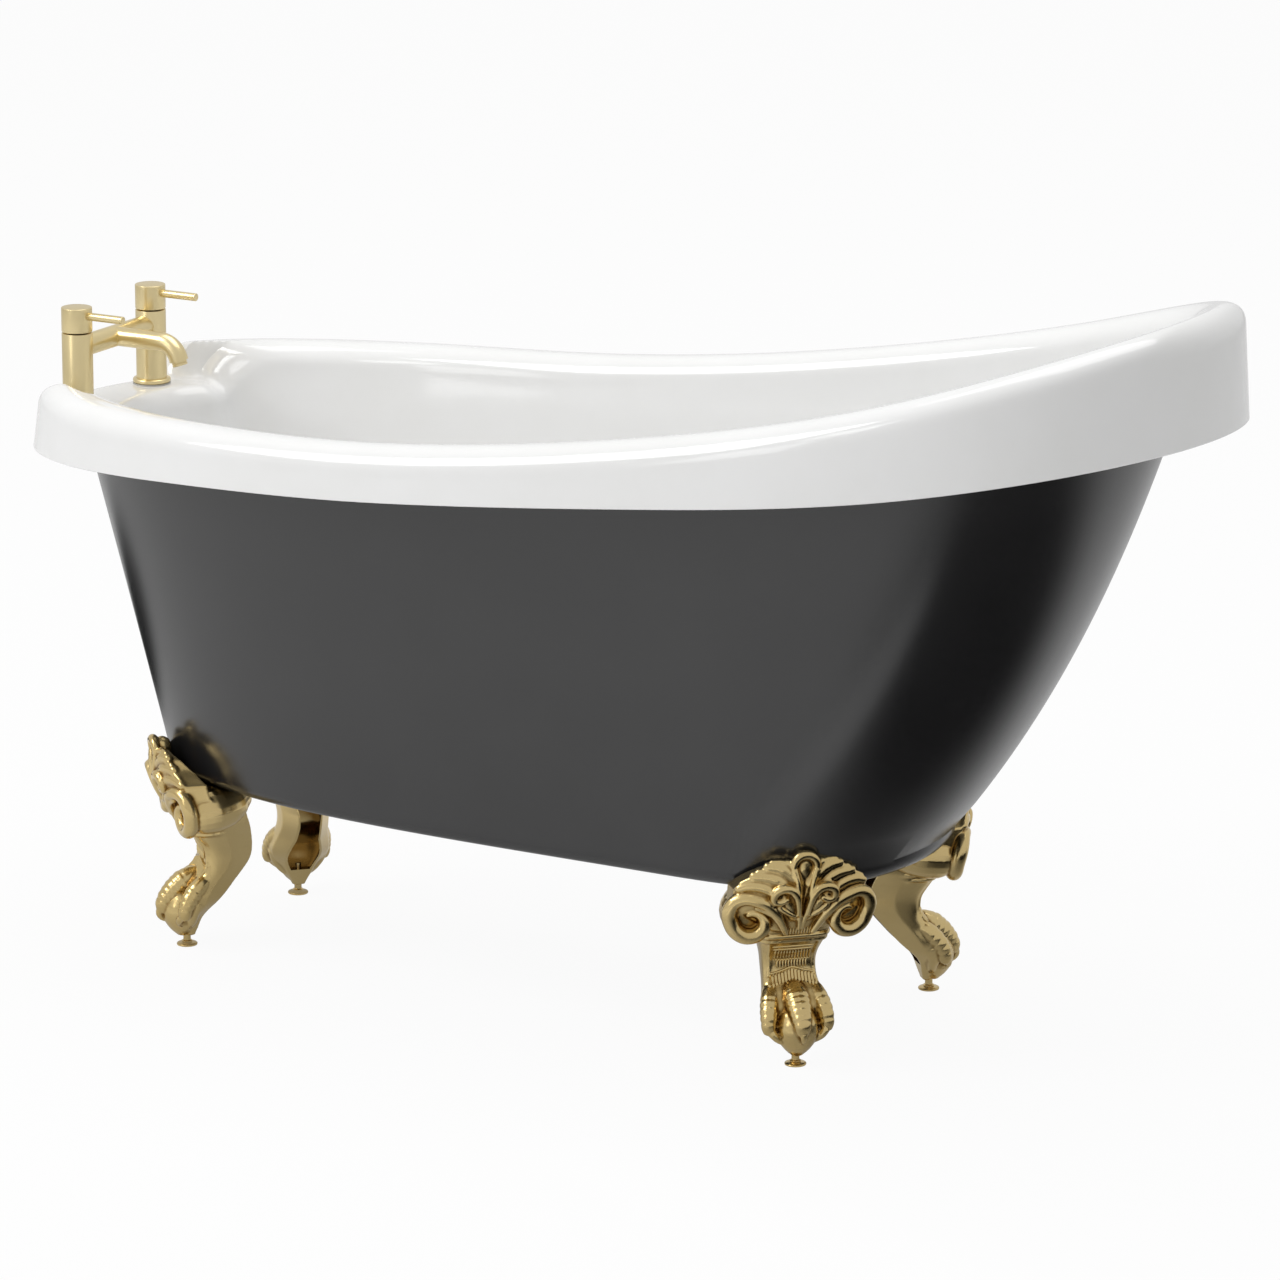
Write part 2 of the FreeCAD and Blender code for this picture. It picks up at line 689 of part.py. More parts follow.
bolts = []
washers = []
tee_nuts = []
all_bolt_holes = []
tee_pockets = []
for name, (x, y, turn) in foot_places.items():
    foot = place(foot_blank, x, y, turn).cut(skin_block)
    foot = max(foot.Solids, key=lambda s: s.Volume)
    save(foot, "foot_" + name)
    save(place(stem, x, y, turn), "stem_" + name)
    save(place(pad, x, y, turn), "pad_" + name)
    for spot, hole in zip(bolt_spots, bolt_holes):
        shank = rod(bolt_diameter / 2, bolt_length, spot + UP * (seat_under - washer_thickness))
        head = hexagon(bolt_head_diameter, bolt_head_height,
                       spot + UP * (seat_under - washer_thickness - bolt_head_height))
        bolts.append(place(shank.fuse(head), x, y, turn))
        washers.append(place(tube(washer_diameter / 2, bolt_diameter / 2 + bolt_clearance, washer_thickness,
                                  spot + UP * (seat_under - washer_thickness)), x, y, turn))
        nut = rod(tee_nut_diameter / 2, tee_nut_flange, spot + UP * (board_top - tee_nut_flange))
        nut = nut.fuse(rod(tee_nut_barrel / 2, tee_nut_length, spot + UP * (board_top - tee_nut_length)))
        pocket = rod(tee_nut_diameter / 2 + pocket_gap, tee_nut_flange + overrun,
                     spot + UP * (board_top - tee_nut_flange))
        pocket = pocket.fuse(rod(tee_nut_barrel / 2 + pocket_gap, tee_nut_length + pocket_gap,
                                 spot + UP * (board_top - tee_nut_length - pocket_gap)))
        nut = nut.cut(rod(bolt_diameter / 2 + thread_fit, board_top, spot))
        tee_nuts.append(place(nut, x, y, turn))
        tee_pockets.append(place(pocket, x, y, turn))
        all_bolt_holes.append(place(hole, x, y, turn))
save(Part.makeCompound(bolts), "foot_bolts")
save(Part.makeCompound(washers), "foot_washers")
save(Part.makeCompound(tee_nuts), "tee_nuts")


# Bath filler: two pillars joined by a bridge that carries the spout.
def tap_spot(side, z):
    """Point on a pillar's axis."""
    return V(tap_x, side * tap_half_spacing, z)


deck_seat = deck_height - spot_face_depth
deck_under = deck_height - shell_wall + spot_face_depth
pillar_base = deck_seat + deck_seal_thickness
pillar_top = pillar_base + pillar_height
tail_low = edge_height(tap_x + tail_diameter / 2) + flange_rise + flange_wall + tail_gap
tail_length = pillar_base - tail_low
handle_base = pillar_top + groove_width
handle_top = handle_base + handle_height
bridge_z = pillar_base + bridge_height
hands = {"near": -1, "far": 1}
tap_cuts = []
deck_seals = []
base_rings = []
fibre_washers = []
back_nuts = []
for name, side in hands.items():
    pillar = rod(pillar_diameter / 2, pillar_height, tap_spot(side, pillar_base))
    pillar = pillar.fuse(rod(tail_diameter / 2, tail_length, tap_spot(side, pillar_base - tail_length)))
    pillar = pillar.cut(rod(tail_bore / 2, tail_length + pillar_height + overrun,
                            tap_spot(side, pillar_base - tail_length - overrun)))
    pillar = pillar.cut(rod(pillar_bore / 2, pillar_height, tap_spot(side, pillar_base + pillar_floor)))
    pillar = pillar.cut(rod(bridge_diameter / 2, tap_half_spacing, tap_spot(side, bridge_z), V(0, -side, 0)))
    save(pillar, "tap_pillar_" + name)
    base_rings.append(tube(base_ring_diameter / 2, pillar_diameter / 2 + base_ring_fit, base_ring_height,
                           tap_spot(side, pillar_base)))
    tail_hole = tail_diameter / 2 + thread_fit
    deck_seals.append(tube(base_ring_diameter / 2, tail_hole, deck_seal_thickness,
                           tap_spot(side, deck_seat)))
    fibre_washers.append(tube(fibre_washer_diameter / 2, tail_hole, fibre_washer_thickness,
                              tap_spot(side, deck_under - fibre_washer_thickness)))
    nut_base = tap_spot(side, deck_under - fibre_washer_thickness - back_nut_height)
    back_nuts.append(hexagon(back_nut_width, back_nut_height, nut_base).cut(
        rod(tail_hole, back_nut_height + 2 * overrun, nut_base - UP * overrun)))
    tap_cuts.append(rod(tail_diameter / 2 + tap_hole_clearance, 2 * overrun,
                        tap_spot(side, deck_seat - overrun)))
    tap_cuts.append(rod(base_ring_diameter / 2 + pocket_gap, overrun, tap_spot(side, deck_seat)))
    tap_cuts.append(rod(fibre_washer_diameter / 2 + pocket_gap, overrun, tap_spot(side, deck_under), DOWN))
    valve_base = pillar_base + pillar_floor
    valve_height = pillar_top - valve_base
    valve = rod(pillar_bore / 2 - valve_fit, valve_height, tap_spot(side, valve_base))
    valve = valve.cut(rod(spindle_diameter / 2 + spindle_fit, valve_height + overrun,
                          tap_spot(side, valve_base + valve_height / 2)))
    valve = valve.cut(rod(bridge_diameter / 2 - bridge_wall, tap_half_spacing, tap_spot(side, bridge_z),
                          V(0, -side, 0)))
    save(valve, "tap_valve_" + name)
    spindle = rod(spindle_diameter / 2, valve_height / 2 + spindle_rise - thread_fit,
                  tap_spot(side, valve_base + valve_height / 2 + thread_fit))
    handle = rod(pillar_diameter / 2, handle_height, tap_spot(side, handle_base))
    handle = handle.cut(rod(spindle_diameter / 2, spindle_rise - groove_width, tap_spot(side, handle_base)))
    lever_z = handle_top - lever_below_top
    lever_root = tap_spot(side, lever_z) + ALONG * (pillar_diameter / 2 - lever_socket_depth)
    lever = rod(lever_diameter / 2, lever_reach - pillar_diameter / 2 + lever_socket_depth,
                lever_root, ALONG)
    handle = handle.cut(lever)
    grub_root = tap_spot(side, handle_base + grub_diameter) - ALONG * (spindle_diameter / 2)
    grub = rod(grub_diameter / 2, grub_length, grub_root, -ALONG)
    handle = handle.cut(rod(grub_diameter / 2, pillar_diameter, grub_root, -ALONG))
    grub = grub.cut(rod(spindle_diameter / 2, pillar_top, tap_spot(side, 0)))
    save(handle, "tap_handle_" + name)
    save(lever, "tap_lever_" + name)
    save(spindle, "tap_spindle_" + name)
    save(grub, "grub_screw_" + name)
save(Part.makeCompound(base_rings), "tap_base_rings")
save(Part.makeCompound(deck_seals), "tap_deck_seals")
save(Part.makeCompound(fibre_washers), "tap_fibre_washers")
save(Part.makeCompound(back_nuts), "tap_back_nuts")

bridge_start = tap_spot(-1, bridge_z)
bridge_run = 2 * tap_half_spacing
bridge = rod(bridge_diameter / 2, bridge_run, bridge_start, ACROSS)
bridge_hole = rod(bridge_diameter / 2 - bridge_wall, bridge_run + 2 * overrun,
                  bridge_start - ACROSS * overrun, ACROSS)
for side in hands.values():
    bridge = bridge.cut(rod(pillar_bore / 2, pillar_height, tap_spot(side, pillar_base)))


def spout_tube(radius):
    """Round solid along the spout: straight run, bend and short tail."""
    middle = V(tap_x, 0, bridge_z)
    turn = math.radians(spout_bend_angle)
    straight = spout_reach - spout_bend_radius * math.sin(turn) - spout_tail * math.cos(turn)
    knee = middle + ALONG * straight
    bend = bent_bar(spout_bend_radius, radius, spout_bend_angle, knee + DOWN * spout_bend_radius)
    end = knee + V(spout_bend_radius * math.sin(turn), 0, spout_bend_radius * (math.cos(turn) - 1))
    way = V(math.cos(turn), 0, -math.sin(turn))
    pieces = [rod(radius, straight, middle, ALONG), bend, rod(radius, spout_tail, end, way)]
    return pieces, end + way * spout_tail, way


spout_pieces, spout_end, spout_way = spout_tube(spout_diameter / 2)
spout_bore = spout_diameter / 2 - spout_wall
spout = fused(spout_pieces).cut(rod(bridge_diameter / 2, bridge_run, bridge_start, ACROSS))
spout = spout.cut(fused(spout_tube(spout_bore)[0]))
bridge = bridge.cut(bridge_hole).cut(rod(spout_bore, bridge_diameter, V(tap_x, 0, bridge_z), ALONG))
save(bridge, "tap_bridge")
save(spout, "tap_spout")
aerator = tube(aerator_diameter / 2, aerator_diameter / 2 - aerator_lip, aerator_length,
               spout_end - spout_way * aerator_depth, spout_way)
save(aerator, "spout_aerator")


# Waste, click plug and overflow.
waste_hole = rod(waste_outlet_diameter / 2 + waste_hole_clearance, floor_height + overrun, V(waste_x, 0, 0))
flange_base = floor_height + waste_seal_thickness
flange_top = flange_base + waste_flange_thickness
waste_low = flange_base - waste_length
waste = rod(waste_diameter / 2, waste_length, V(waste_x, 0, waste_low))
waste = waste.fuse(rod(waste_flange_diameter / 2, waste_flange_thickness, V(waste_x, 0, flange_base)))
waste = waste.fuse(rod(waste_outlet_diameter / 2, waste_outlet_length, V(waste_x, 0, waste_low)))
waste = waste.cut(rod(waste_bore / 2, floor_height, V(waste_x, 0, waste_low - overrun)))
waste = waste.fuse(Part.makeBox(waste_bore + 2 * waste_spider_bite, 2 * plug_stem_diameter,
                                waste_spider_height,
                                V(waste_x - waste_bore / 2 - waste_spider_bite, -plug_stem_diameter,
                                  flange_top - waste_spider_drop)))
waste = waste.cut(rod(plug_stem_diameter / 2 + plug_stem_fit, floor_height, V(waste_x, 0, 0)))
waste = waste.cut(rod(pipe_diameter / 2 + pipe_gap, waste_diameter, V(waste_x, 0, pipe_run_height), -ALONG))
save(waste, "waste_body")
save(tube(waste_flange_diameter / 2, waste_diameter / 2 + thread_fit, waste_seal_thickness,
          V(waste_x, 0, floor_height)), "waste_top_seal")
save(tube(waste_flange_diameter / 2, waste_diameter / 2 + thread_fit, waste_seal_thickness,
          V(waste_x, 0, skin_bottom_height - waste_seal_thickness)), "waste_lower_seal")
waste_nut_base = V(waste_x, 0, skin_bottom_height - waste_seal_thickness - waste_nut_height)
save(hexagon(waste_nut_width, waste_nut_height, waste_nut_base).cut(
    rod(waste_outlet_diameter / 2 + thread_fit, floor_height, V(waste_x, 0, 0))), "waste_nut")
plug_base = flange_top + plug_gap
plug = rod(plug_diameter / 2, plug_thickness, V(waste_x, 0, plug_base))
plug_rim = [e for e in plug.Edges if e.Closed and e.BoundBox.ZMin > plug_base + plug_thickness / 2]
save(plug.makeFillet(plug_thickness / 2, plug_rim), "plug_cap")
save(rod(plug_stem_diameter / 2, plug_stem_length, V(waste_x, 0, plug_base - plug_stem_length)), "plug_stem")


def basin_back_x(z):
    """Outer face of the basin at the tap end, on the centre line."""
    share = (z - floor_height) / (deck_height - inner_roll - floor_height)
    bend_share = basin_floor_round / (deck_height - inner_roll - floor_height)
    inset = blend(floor_insets[0], mouth_insets[0], max(share, bend_share)) - shell_wall
    under = max(0.0, floor_height + basin_floor_round - z)
    bend = basin_floor_round + shell_wall
    return inset + bend - math.sqrt(bend * bend - under * under) - half_length


def cavity_spot(z):
    """Middle of the space between the two skins at the tap end."""
    share = (z - skin_bottom_height) / (tap_edge_height - skin_bottom_height)
    skin_x = skin_insets(share, skin_wall)[0] - half_length
    return V((skin_x + basin_back_x(z)) / 2, 0, z)


wall_lean = (mouth_insets[0] - floor_insets[0]) / (deck_height - inner_roll - floor_height)
wall_way = V(1, 0, -wall_lean).normalize()
wall_face = V(basin_back_x(overflow_height), 0, overflow_height) + wall_way * shell_wall
rose_base = wall_face + wall_way * overflow_seat
cavity_half = basin_back_x(overflow_height) - cavity_spot(overflow_height).x
elbow_run = cavity_half + shell_wall
elbow_spot = wall_face - wall_way * elbow_run
pipe_spots = [elbow_spot, cavity_spot(pipe_knee_height), cavity_spot(pipe_turn_height),
              V(pipe_foot_inset - half_length, 0, pipe_entry_height),
              V(pipe_foot_inset - half_length, 0, pipe_run_height),
              V(waste_x - waste_bore / 2, 0, pipe_run_height)]


def chain(radius, spots):
    """Round bar through points with rounded joints."""
    pieces = []
    for a, b in zip(spots, spots[1:]):
        pieces.append(rod(radius, (b - a).Length, a, (b - a).normalize()))
    pieces += [Part.makeSphere(radius, p) for p in spots[1:-1]]
    return fused(pieces)


pipe_way = (pipe_spots[1] - elbow_spot).normalize()
socket = rod(overflow_socket_diameter / 2, overflow_socket_length, elbow_spot, pipe_way)
elbow = fused([rod(overflow_spigot_diameter / 2, elbow_run + overflow_seat, elbow_spot, wall_way),
               Part.makeSphere(overflow_socket_diameter / 2, elbow_spot), socket])
pipe_start = elbow_spot + pipe_way * (overflow_socket_length / 2)
elbow = elbow.cut(fused([rod(overflow_bore / 2, elbow_run + overflow_seat + overrun, elbow_spot, wall_way),
                         Part.makeSphere(overflow_bore / 2, elbow_spot),
                         rod(overflow_bore / 2, overflow_socket_length, elbow_spot, pipe_way)]))
elbow = elbow.cut(rod(pipe_diameter / 2 + pipe_gap, overflow_socket_length, pipe_start, pipe_way))
save(elbow, "overflow_elbow")
pipe = chain(pipe_diameter / 2, [pipe_start] + pipe_spots[1:])
pipe = pipe.cut(chain(pipe_diameter / 2 - pipe_wall, [pipe_start - pipe_way * pipe_wall] + pipe_spots[1:-1]
                      + [pipe_spots[-1] + ALONG * pipe_wall]))
save(pipe, "overflow_pipe")
rose = rod(overflow_rose_diameter / 2, overflow_rose_thickness, rose_base, wall_way)
for k in (-1, 0, 1):
    slot = Part.makeBox(overflow_rose_thickness + 2 * overflow_seat, overflow_slot_length,
                        overflow_slot_width,
                        V(-overflow_seat, -overflow_slot_length / 2,
                          k * overflow_slot_spacing - overflow_slot_width / 2))
    slot.rotate(V(0, 0, 0), ACROSS, math.degrees(math.atan(wall_lean)))
    slot.translate(rose_base)
    rose = rose.cut(slot)
save(rose, "overflow_rose")
overflow_hole = rod(overflow_spigot_diameter / 2 + overflow_hole_clearance, 2 * overrun,
                    wall_face - wall_way * overrun, wall_way)
for tool in tap_cuts + [waste_hole, overflow_hole]:
    bath_shell = bath_shell.cut(tool)
seal = tube(overflow_rose_diameter / 2, overflow_spigot_diameter / 2 + overflow_hole_clearance,
            2 * overflow_seat, rose_base - wall_way * (2 * overflow_seat), wall_way)
seal = seal.cut(bath_shell)
save(max(seal.Solids, key=lambda s: s.CenterOfMass.x), "overflow_seal")
save(bath_shell, "bath_shell")
pipe_hole = rod(pipe_diameter / 2 + pipe_hole_clearance, board_top + overrun,
                V(pipe_foot_inset - half_length, 0, 0))
board_cuts = [waste_hole, pipe_hole] + all_bolt_holes
save(outer_skin.cut(Part.makeCompound(board_cuts)), "outer_skin")
save(base_board.cut(Part.makeCompound(board_cuts)).cut(Part.makeCompound(tee_pockets)), "base_board")
save(rim_bond, "rim_bond")
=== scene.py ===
"""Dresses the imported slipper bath: tub, claw feet, bath filler and waste, in a plain pale studio."""

import json
import logging
import math
from dataclasses import dataclass, field, replace
from enum import Enum
from typing import Callable, Iterable, Sequence

import bmesh
import bpy
import numpy as np
from mathutils import Matrix, Vector


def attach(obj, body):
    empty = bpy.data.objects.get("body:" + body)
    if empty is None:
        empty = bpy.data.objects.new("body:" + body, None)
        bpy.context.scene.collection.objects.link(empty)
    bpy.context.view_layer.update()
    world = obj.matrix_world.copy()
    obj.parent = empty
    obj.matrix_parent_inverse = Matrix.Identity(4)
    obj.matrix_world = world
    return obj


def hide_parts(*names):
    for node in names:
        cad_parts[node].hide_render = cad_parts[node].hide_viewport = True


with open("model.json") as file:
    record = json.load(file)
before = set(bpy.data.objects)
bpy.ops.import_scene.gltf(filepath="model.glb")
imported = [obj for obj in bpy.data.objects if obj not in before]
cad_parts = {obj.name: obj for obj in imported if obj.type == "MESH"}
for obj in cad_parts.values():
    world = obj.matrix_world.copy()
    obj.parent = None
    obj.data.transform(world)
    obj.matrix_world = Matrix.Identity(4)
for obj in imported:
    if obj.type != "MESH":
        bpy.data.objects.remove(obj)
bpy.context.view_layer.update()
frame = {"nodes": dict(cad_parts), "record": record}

LOG = logging.getLogger("slipper_bath")
MM = 0.001
UP = (0.0, 0.0, 1.0)
WELD_DISTANCE = 1e-7
LEAST_RADIUS = 1e-9
CREASE_ANGLE = math.radians(32.0)
EDGE_STEPS = 4
CURVE_STEPS = 16
DRILL_STEPS = 64
DRILL_LENGTH = 0.02

Point = tuple[float, float, float]
Hole = tuple[Point, Point, float]
Roll = list[tuple[float, float, float, float]]


class Hand(Enum):
    """Which of the two taps, seen from the bath's long near side."""

    NEAR = -1
    FAR = 1

    @property
    def word(self) -> str:
        """Name as the nodes spell it."""
        return self.name.lower()


class Corner(Enum):
    """The four feet: turn of the foot about the upright, in degrees."""

    TAP_NEAR = -135.0
    TAP_FAR = 135.0
    SLIPPER_NEAR = -45.0
    SLIPPER_FAR = 45.0

    @property
    def word(self) -> str:
        """Name as the nodes spell it."""
        return self.name.lower()


# Finishes

CLOUD_GRAIN = (9.0, 9.0, 9.0)
CLOUD_OCTAVES = 3.0
CLOUD_BAND = (0.35, 0.7)
GRAIN_OCTAVES = 4.0
GRAIN_DEPTH = 0.0005
COAT_ROUGHNESS = 0.05
# Dark brown painted as shade into the claw feet's hollows, where a mesh attribute marks them.
SHADED_HOLLOW_ATTRIBUTE = "hollow"
PAINTED_SHADE_BROWN = (0.20, 0.105, 0.022, 1.0)
# A mix node's colour sockets, by place, because its other kinds of socket have the same names.
MIX_FIRST, MIX_SECOND, MIX_RESULT = 6, 7, 2


@dataclass(frozen=True)
class Finish:
    """A surface finish built from procedural nodes.

    Args:
        name: material name.
        tint: base colour, linear.
        shadow_tint: colour that slow noise mixes in.
        roughness: middle of the roughness range.
        spread: how far fine noise moves the roughness.
        metallic: metal share.
        grain: size of the fine grain per metre along x, y and z.
        relief: bump strength of the grain.
        coat: clear coat weight.
        specular: strength of the plain gloss.
        painted_hollow_shade: whether dark brown is painted as shade into the hollows that the mesh marks.
    """

    name: str
    tint: tuple[float, float, float]
    shadow_tint: tuple[float, float, float]
    roughness: float
    spread: float = 0.04
    metallic: float = 0.0
    grain: tuple[float, float, float] = (400.0, 400.0, 400.0)
    relief: float = 0.02
    coat: float = 0.0
    specular: float = 0.5
    painted_hollow_shade: bool = False

    def material(self) -> bpy.types.Material:
        """Build the material.

        Returns:
            The new material.
        """
        mat = bpy.data.materials.new(self.name)
        mat.use_nodes = True
        tree = mat.node_tree
        shader = tree.nodes["Principled BSDF"]
        shader.inputs["Metallic"].default_value = self.metallic
        shader.inputs["Specular IOR Level"].default_value = self.specular
        shader.inputs["Coat Weight"].default_value = self.coat
        shader.inputs["Coat Roughness"].default_value = COAT_ROUGHNESS
        coords = tree.nodes.new("ShaderNodeTexCoord")
        cloud = self._noise(tree, coords, CLOUD_GRAIN, CLOUD_OCTAVES)
        fine = self._noise(tree, coords, self.grain, GRAIN_OCTAVES)
        tone = self._tone(tree, cloud.outputs["Fac"])
        # Painted shade: dark brown in the hollows that the mesh marks.
        if self.painted_hollow_shade:
            tone = self._paint_shade_into_hollows(tree, tone)
        tree.links.new(tone, shader.inputs["Base Color"])
        rough = tree.nodes.new("ShaderNodeMapRange")
        rough.inputs["To Min"].default_value = self.roughness - self.spread
        rough.inputs["To Max"].default_value = self.roughness + self.spread
        tree.links.new(fine.outputs["Fac"], rough.inputs["Value"])
        tree.links.new(rough.outputs["Result"], shader.inputs["Roughness"])
        bump = tree.nodes.new("ShaderNodeBump")
        bump.inputs["Strength"].default_value = self.relief
        bump.inputs["Distance"].default_value = GRAIN_DEPTH
        tree.links.new(fine.outputs["Fac"], bump.inputs["Height"])
        tree.links.new(bump.outputs["Normal"], shader.inputs["Normal"])
        return mat

    @staticmethod
    def _noise(tree: bpy.types.NodeTree, coords: bpy.types.Node, scale: Sequence[float],
               detail: float) -> bpy.types.Node:
        """Noise in object space.

        Args:
            tree: node tree to add to.
            coords: texture coordinate node.
            scale: cells per metre along each axis.
            detail: octaves.

        Returns:
            The noise node.
        """
        mapping = tree.nodes.new("ShaderNodeMapping")
        mapping.inputs["Scale"].default_value = scale
        noise = tree.nodes.new("ShaderNodeTexNoise")
        noise.inputs["Scale"].default_value = 1.0
        noise.inputs["Detail"].default_value = detail
        tree.links.new(coords.outputs["Object"], mapping.inputs["Vector"])
        tree.links.new(mapping.outputs["Vector"], noise.inputs["Vector"])
        return noise

    def _tone(self, tree: bpy.types.NodeTree, fac: bpy.types.NodeSocket) -> bpy.types.NodeSocket:
        """Colour ramp between the two tints.

        Args:
            tree: node tree to add to.
            fac: driving value.

        Returns:
            The colour output.
        """
        ramp = tree.nodes.new("ShaderNodeValToRGB")
        for k, tint in enumerate((self.tint, self.shadow_tint)):
            ramp.color_ramp.elements[k].position = CLOUD_BAND[k]
            ramp.color_ramp.elements[k].color = (*tint, 1.0)
        tree.links.new(fac, ramp.inputs["Fac"])
        return ramp.outputs["Color"]

    @staticmethod
    def _paint_shade_into_hollows(tree: bpy.types.NodeTree, tone: bpy.types.NodeSocket) -> bpy.types.NodeSocket:
        """Mix dark brown, painted as shade, into the hollows that the mesh's own attribute marks.

        Args:
            tree: node tree to add to.
            tone: colour to darken.

        Returns:
            The darkened colour.
        """
        marks = tree.nodes.new("ShaderNodeAttribute")
        marks.attribute_name = SHADED_HOLLOW_ATTRIBUTE
        mix = tree.nodes.new("ShaderNodeMix")
        mix.data_type = "RGBA"
        tree.links.new(marks.outputs["Fac"], mix.inputs["Factor"])
        tree.links.new(tone, mix.inputs[MIX_FIRST])
        mix.inputs[MIX_SECOND].default_value = PAINTED_SHADE_BROWN
        return mix.outputs[MIX_RESULT]


WHITE_GLOSS = Finish("white_gloss_acrylic", (0.86, 0.86, 0.855), (0.84, 0.84, 0.83), 0.10, 0.02, relief=0.003,
                     grain=(60.0, 60.0, 60.0), coat=0.3)
BLACK_SATIN = Finish("black_satin_skin", (0.013, 0.013, 0.0135), (0.016, 0.016, 0.0165), 0.24, 0.012, relief=0.0015,
                     grain=(90.0, 90.0, 90.0), specular=0.75)
# Cast brass gets dark brown painted as shade into its hollows.
CAST_BRASS = Finish("cast_brass", (0.66, 0.51, 0.245), (0.58, 0.435, 0.19), 0.22, 0.04, metallic=1.0, relief=0.012,
                    grain=(420.0, 420.0, 420.0), painted_hollow_shade=True)
BRUSHED_BRASS = Finish("brushed_brass", (0.77, 0.64, 0.36), (0.71, 0.585, 0.32), 0.30, 0.05, metallic=1.0,
                       relief=0.03, grain=(1500.0, 1500.0, 120.0))
LEVER_BRASS = replace(BRUSHED_BRASS, name="brushed_brass_lengthways", grain=(120.0, 1500.0, 1500.0))
PLAIN_BRASS = Finish("turned_brass", (0.66, 0.50, 0.24), (0.60, 0.45, 0.20), 0.25, 0.05, metallic=1.0, relief=0.03,
                     grain=(200.0, 200.0, 1500.0))
ZINC_STEEL = Finish("zinc_steel", (0.55, 0.55, 0.56), (0.46, 0.47, 0.5), 0.34, 0.08, metallic=1.0, relief=0.05)
SEAL_RUBBER = Finish("seal_rubber", (0.50, 0.49, 0.46), (0.42, 0.41, 0.38), 0.75, 0.08, relief=0.1)
RED_FIBRE = Finish("red_fibre", (0.33, 0.09, 0.05), (0.24, 0.07, 0.04), 0.8, 0.08, relief=0.2)
GREY_PLASTIC = Finish("moulded_grey_plastic", (0.62, 0.62, 0.62), (0.55, 0.55, 0.56), 0.45, 0.06, relief=0.05)
CHIPBOARD = Finish("chipboard", (0.45, 0.31, 0.17), (0.30, 0.19, 0.10), 0.85, 0.08, relief=0.4,
                   grain=(260.0, 260.0, 260.0))
CURED_RESIN = Finish("cured_resin", (0.55, 0.54, 0.48), (0.45, 0.44, 0.38), 0.6, 0.1, relief=0.3,
                     grain=(180.0, 180.0, 180.0))


class FinishShelf:
    """Makes each finish's material once."""

    def __init__(self) -> None:
        """Start with no materials made."""
        self._made: dict[str, bpy.types.Material] = {}

    def get(self, finish: Finish) -> bpy.types.Material:
        """Material of a finish, made at its first use.

        Args:
            finish: the finish.

        Returns:
            Its material.
        """
        if finish.name not in self._made:
            self._made[finish.name] = finish.material()
        return self._made[finish.name]


SHELF = FinishShelf()
SHOWN_AS_PIECES: set[str] = set()


# Mesh helpers


@dataclass
class MeshParts:
    """Vertices and faces gathered for one mesh."""

    points: list[Point] = field(default_factory=list)
    faces: list[tuple[int, ...]] = field(default_factory=list)

    def add(self, points: Iterable[Sequence[float]], faces: Iterable[Sequence[int]]) -> None:
        """Append points and faces.

        Args:
            points: the points.
            faces: their numbers, which start at this call's first point.
        """
        base = len(self.points)
        self.points.extend((float(p[0]), float(p[1]), float(p[2])) for p in points)
        self.faces.extend(tuple(base + i for i in f) for f in faces)

    def add_mesh(self, mesh: bpy.types.Mesh) -> None:
        """Append the points and faces of a mesh."""
        self.add([v.co for v in mesh.vertices], [tuple(p.vertices) for p in mesh.polygons])

    def rings(self, rings: Sequence[np.ndarray]) -> None:
        """Append a surface through closed rings of equal length.

        Args:
            rings: arrays of points, in order along the surface.
        """
        count = len(rings[0])
        faces = []
        for k in range(len(rings) - 1):
            a = k * count
            b = a + count
            for i in range(count):
                j = (i + 1) % count
                faces.append((a + i, a + j, b + j, b + i))
        self.add(np.concatenate(rings), faces)

    def capped_rings(self, rings: Sequence[np.ndarray]) -> None:
        """Append a surface through rings, with a fan on a middle point at each end.

        Args:
            rings: arrays of points, in order along the surface.
        """
        count = len(rings[0])
        base = len(self.points)
        self.rings(rings)
        tail = base + (len(rings) - 1) * count
        self.points.append(tuple(rings[0].mean(axis=0)))
        self.points.append(tuple(rings[-1].mean(axis=0)))
        low = len(self.points) - 2
        for i in range(count):
            j = (i + 1) % count
            self.faces.append((low, base + j, base + i))
            self.faces.append((low + 1, tail + i, tail + j))

    def mesh(self, name: str) -> bpy.types.Mesh:
        """Make the mesh, its faces turned outward.

        Args:
            name: mesh name.

        Returns:
            The new mesh.
        """
        mesh = bpy.data.meshes.new(name)
        mesh.from_pydata(self.points, [], self.faces)
        form = bmesh.new()
        form.from_mesh(mesh)
        bmesh.ops.remove_doubles(form, verts=form.verts, dist=WELD_DISTANCE)
        bmesh.ops.recalc_face_normals(form, faces=form.faces)
        form.to_mesh(mesh)
        form.free()
        return mesh


def lathe(profile: Sequence[tuple[float, float]], base: Point, steps: int, axis: Point = UP) -> MeshParts:
    """Turn a profile about an axis.

    Args:
        profile: (radius, height) pairs; a radius of zero closes an end.
        base: point on the axis at height zero.
        steps: points round the axis.
        axis: direction of growing height.

    Returns:
        The turned surface.
    """
    turn = Vector(UP).rotation_difference(Vector(axis)).to_matrix()
    angles = np.linspace(0.0, 2 * math.pi, steps, endpoint=False)
    rings = []
    for radius, height in profile:
        reach = max(radius, LEAST_RADIUS)
        ring = np.stack([reach * np.cos(angles), reach * np.sin(angles), np.full(steps, height)], axis=1)
        rings.append(ring @ np.array(turn).T + np.array(base))
    parts = MeshParts()
    parts.rings(rings)
    return parts


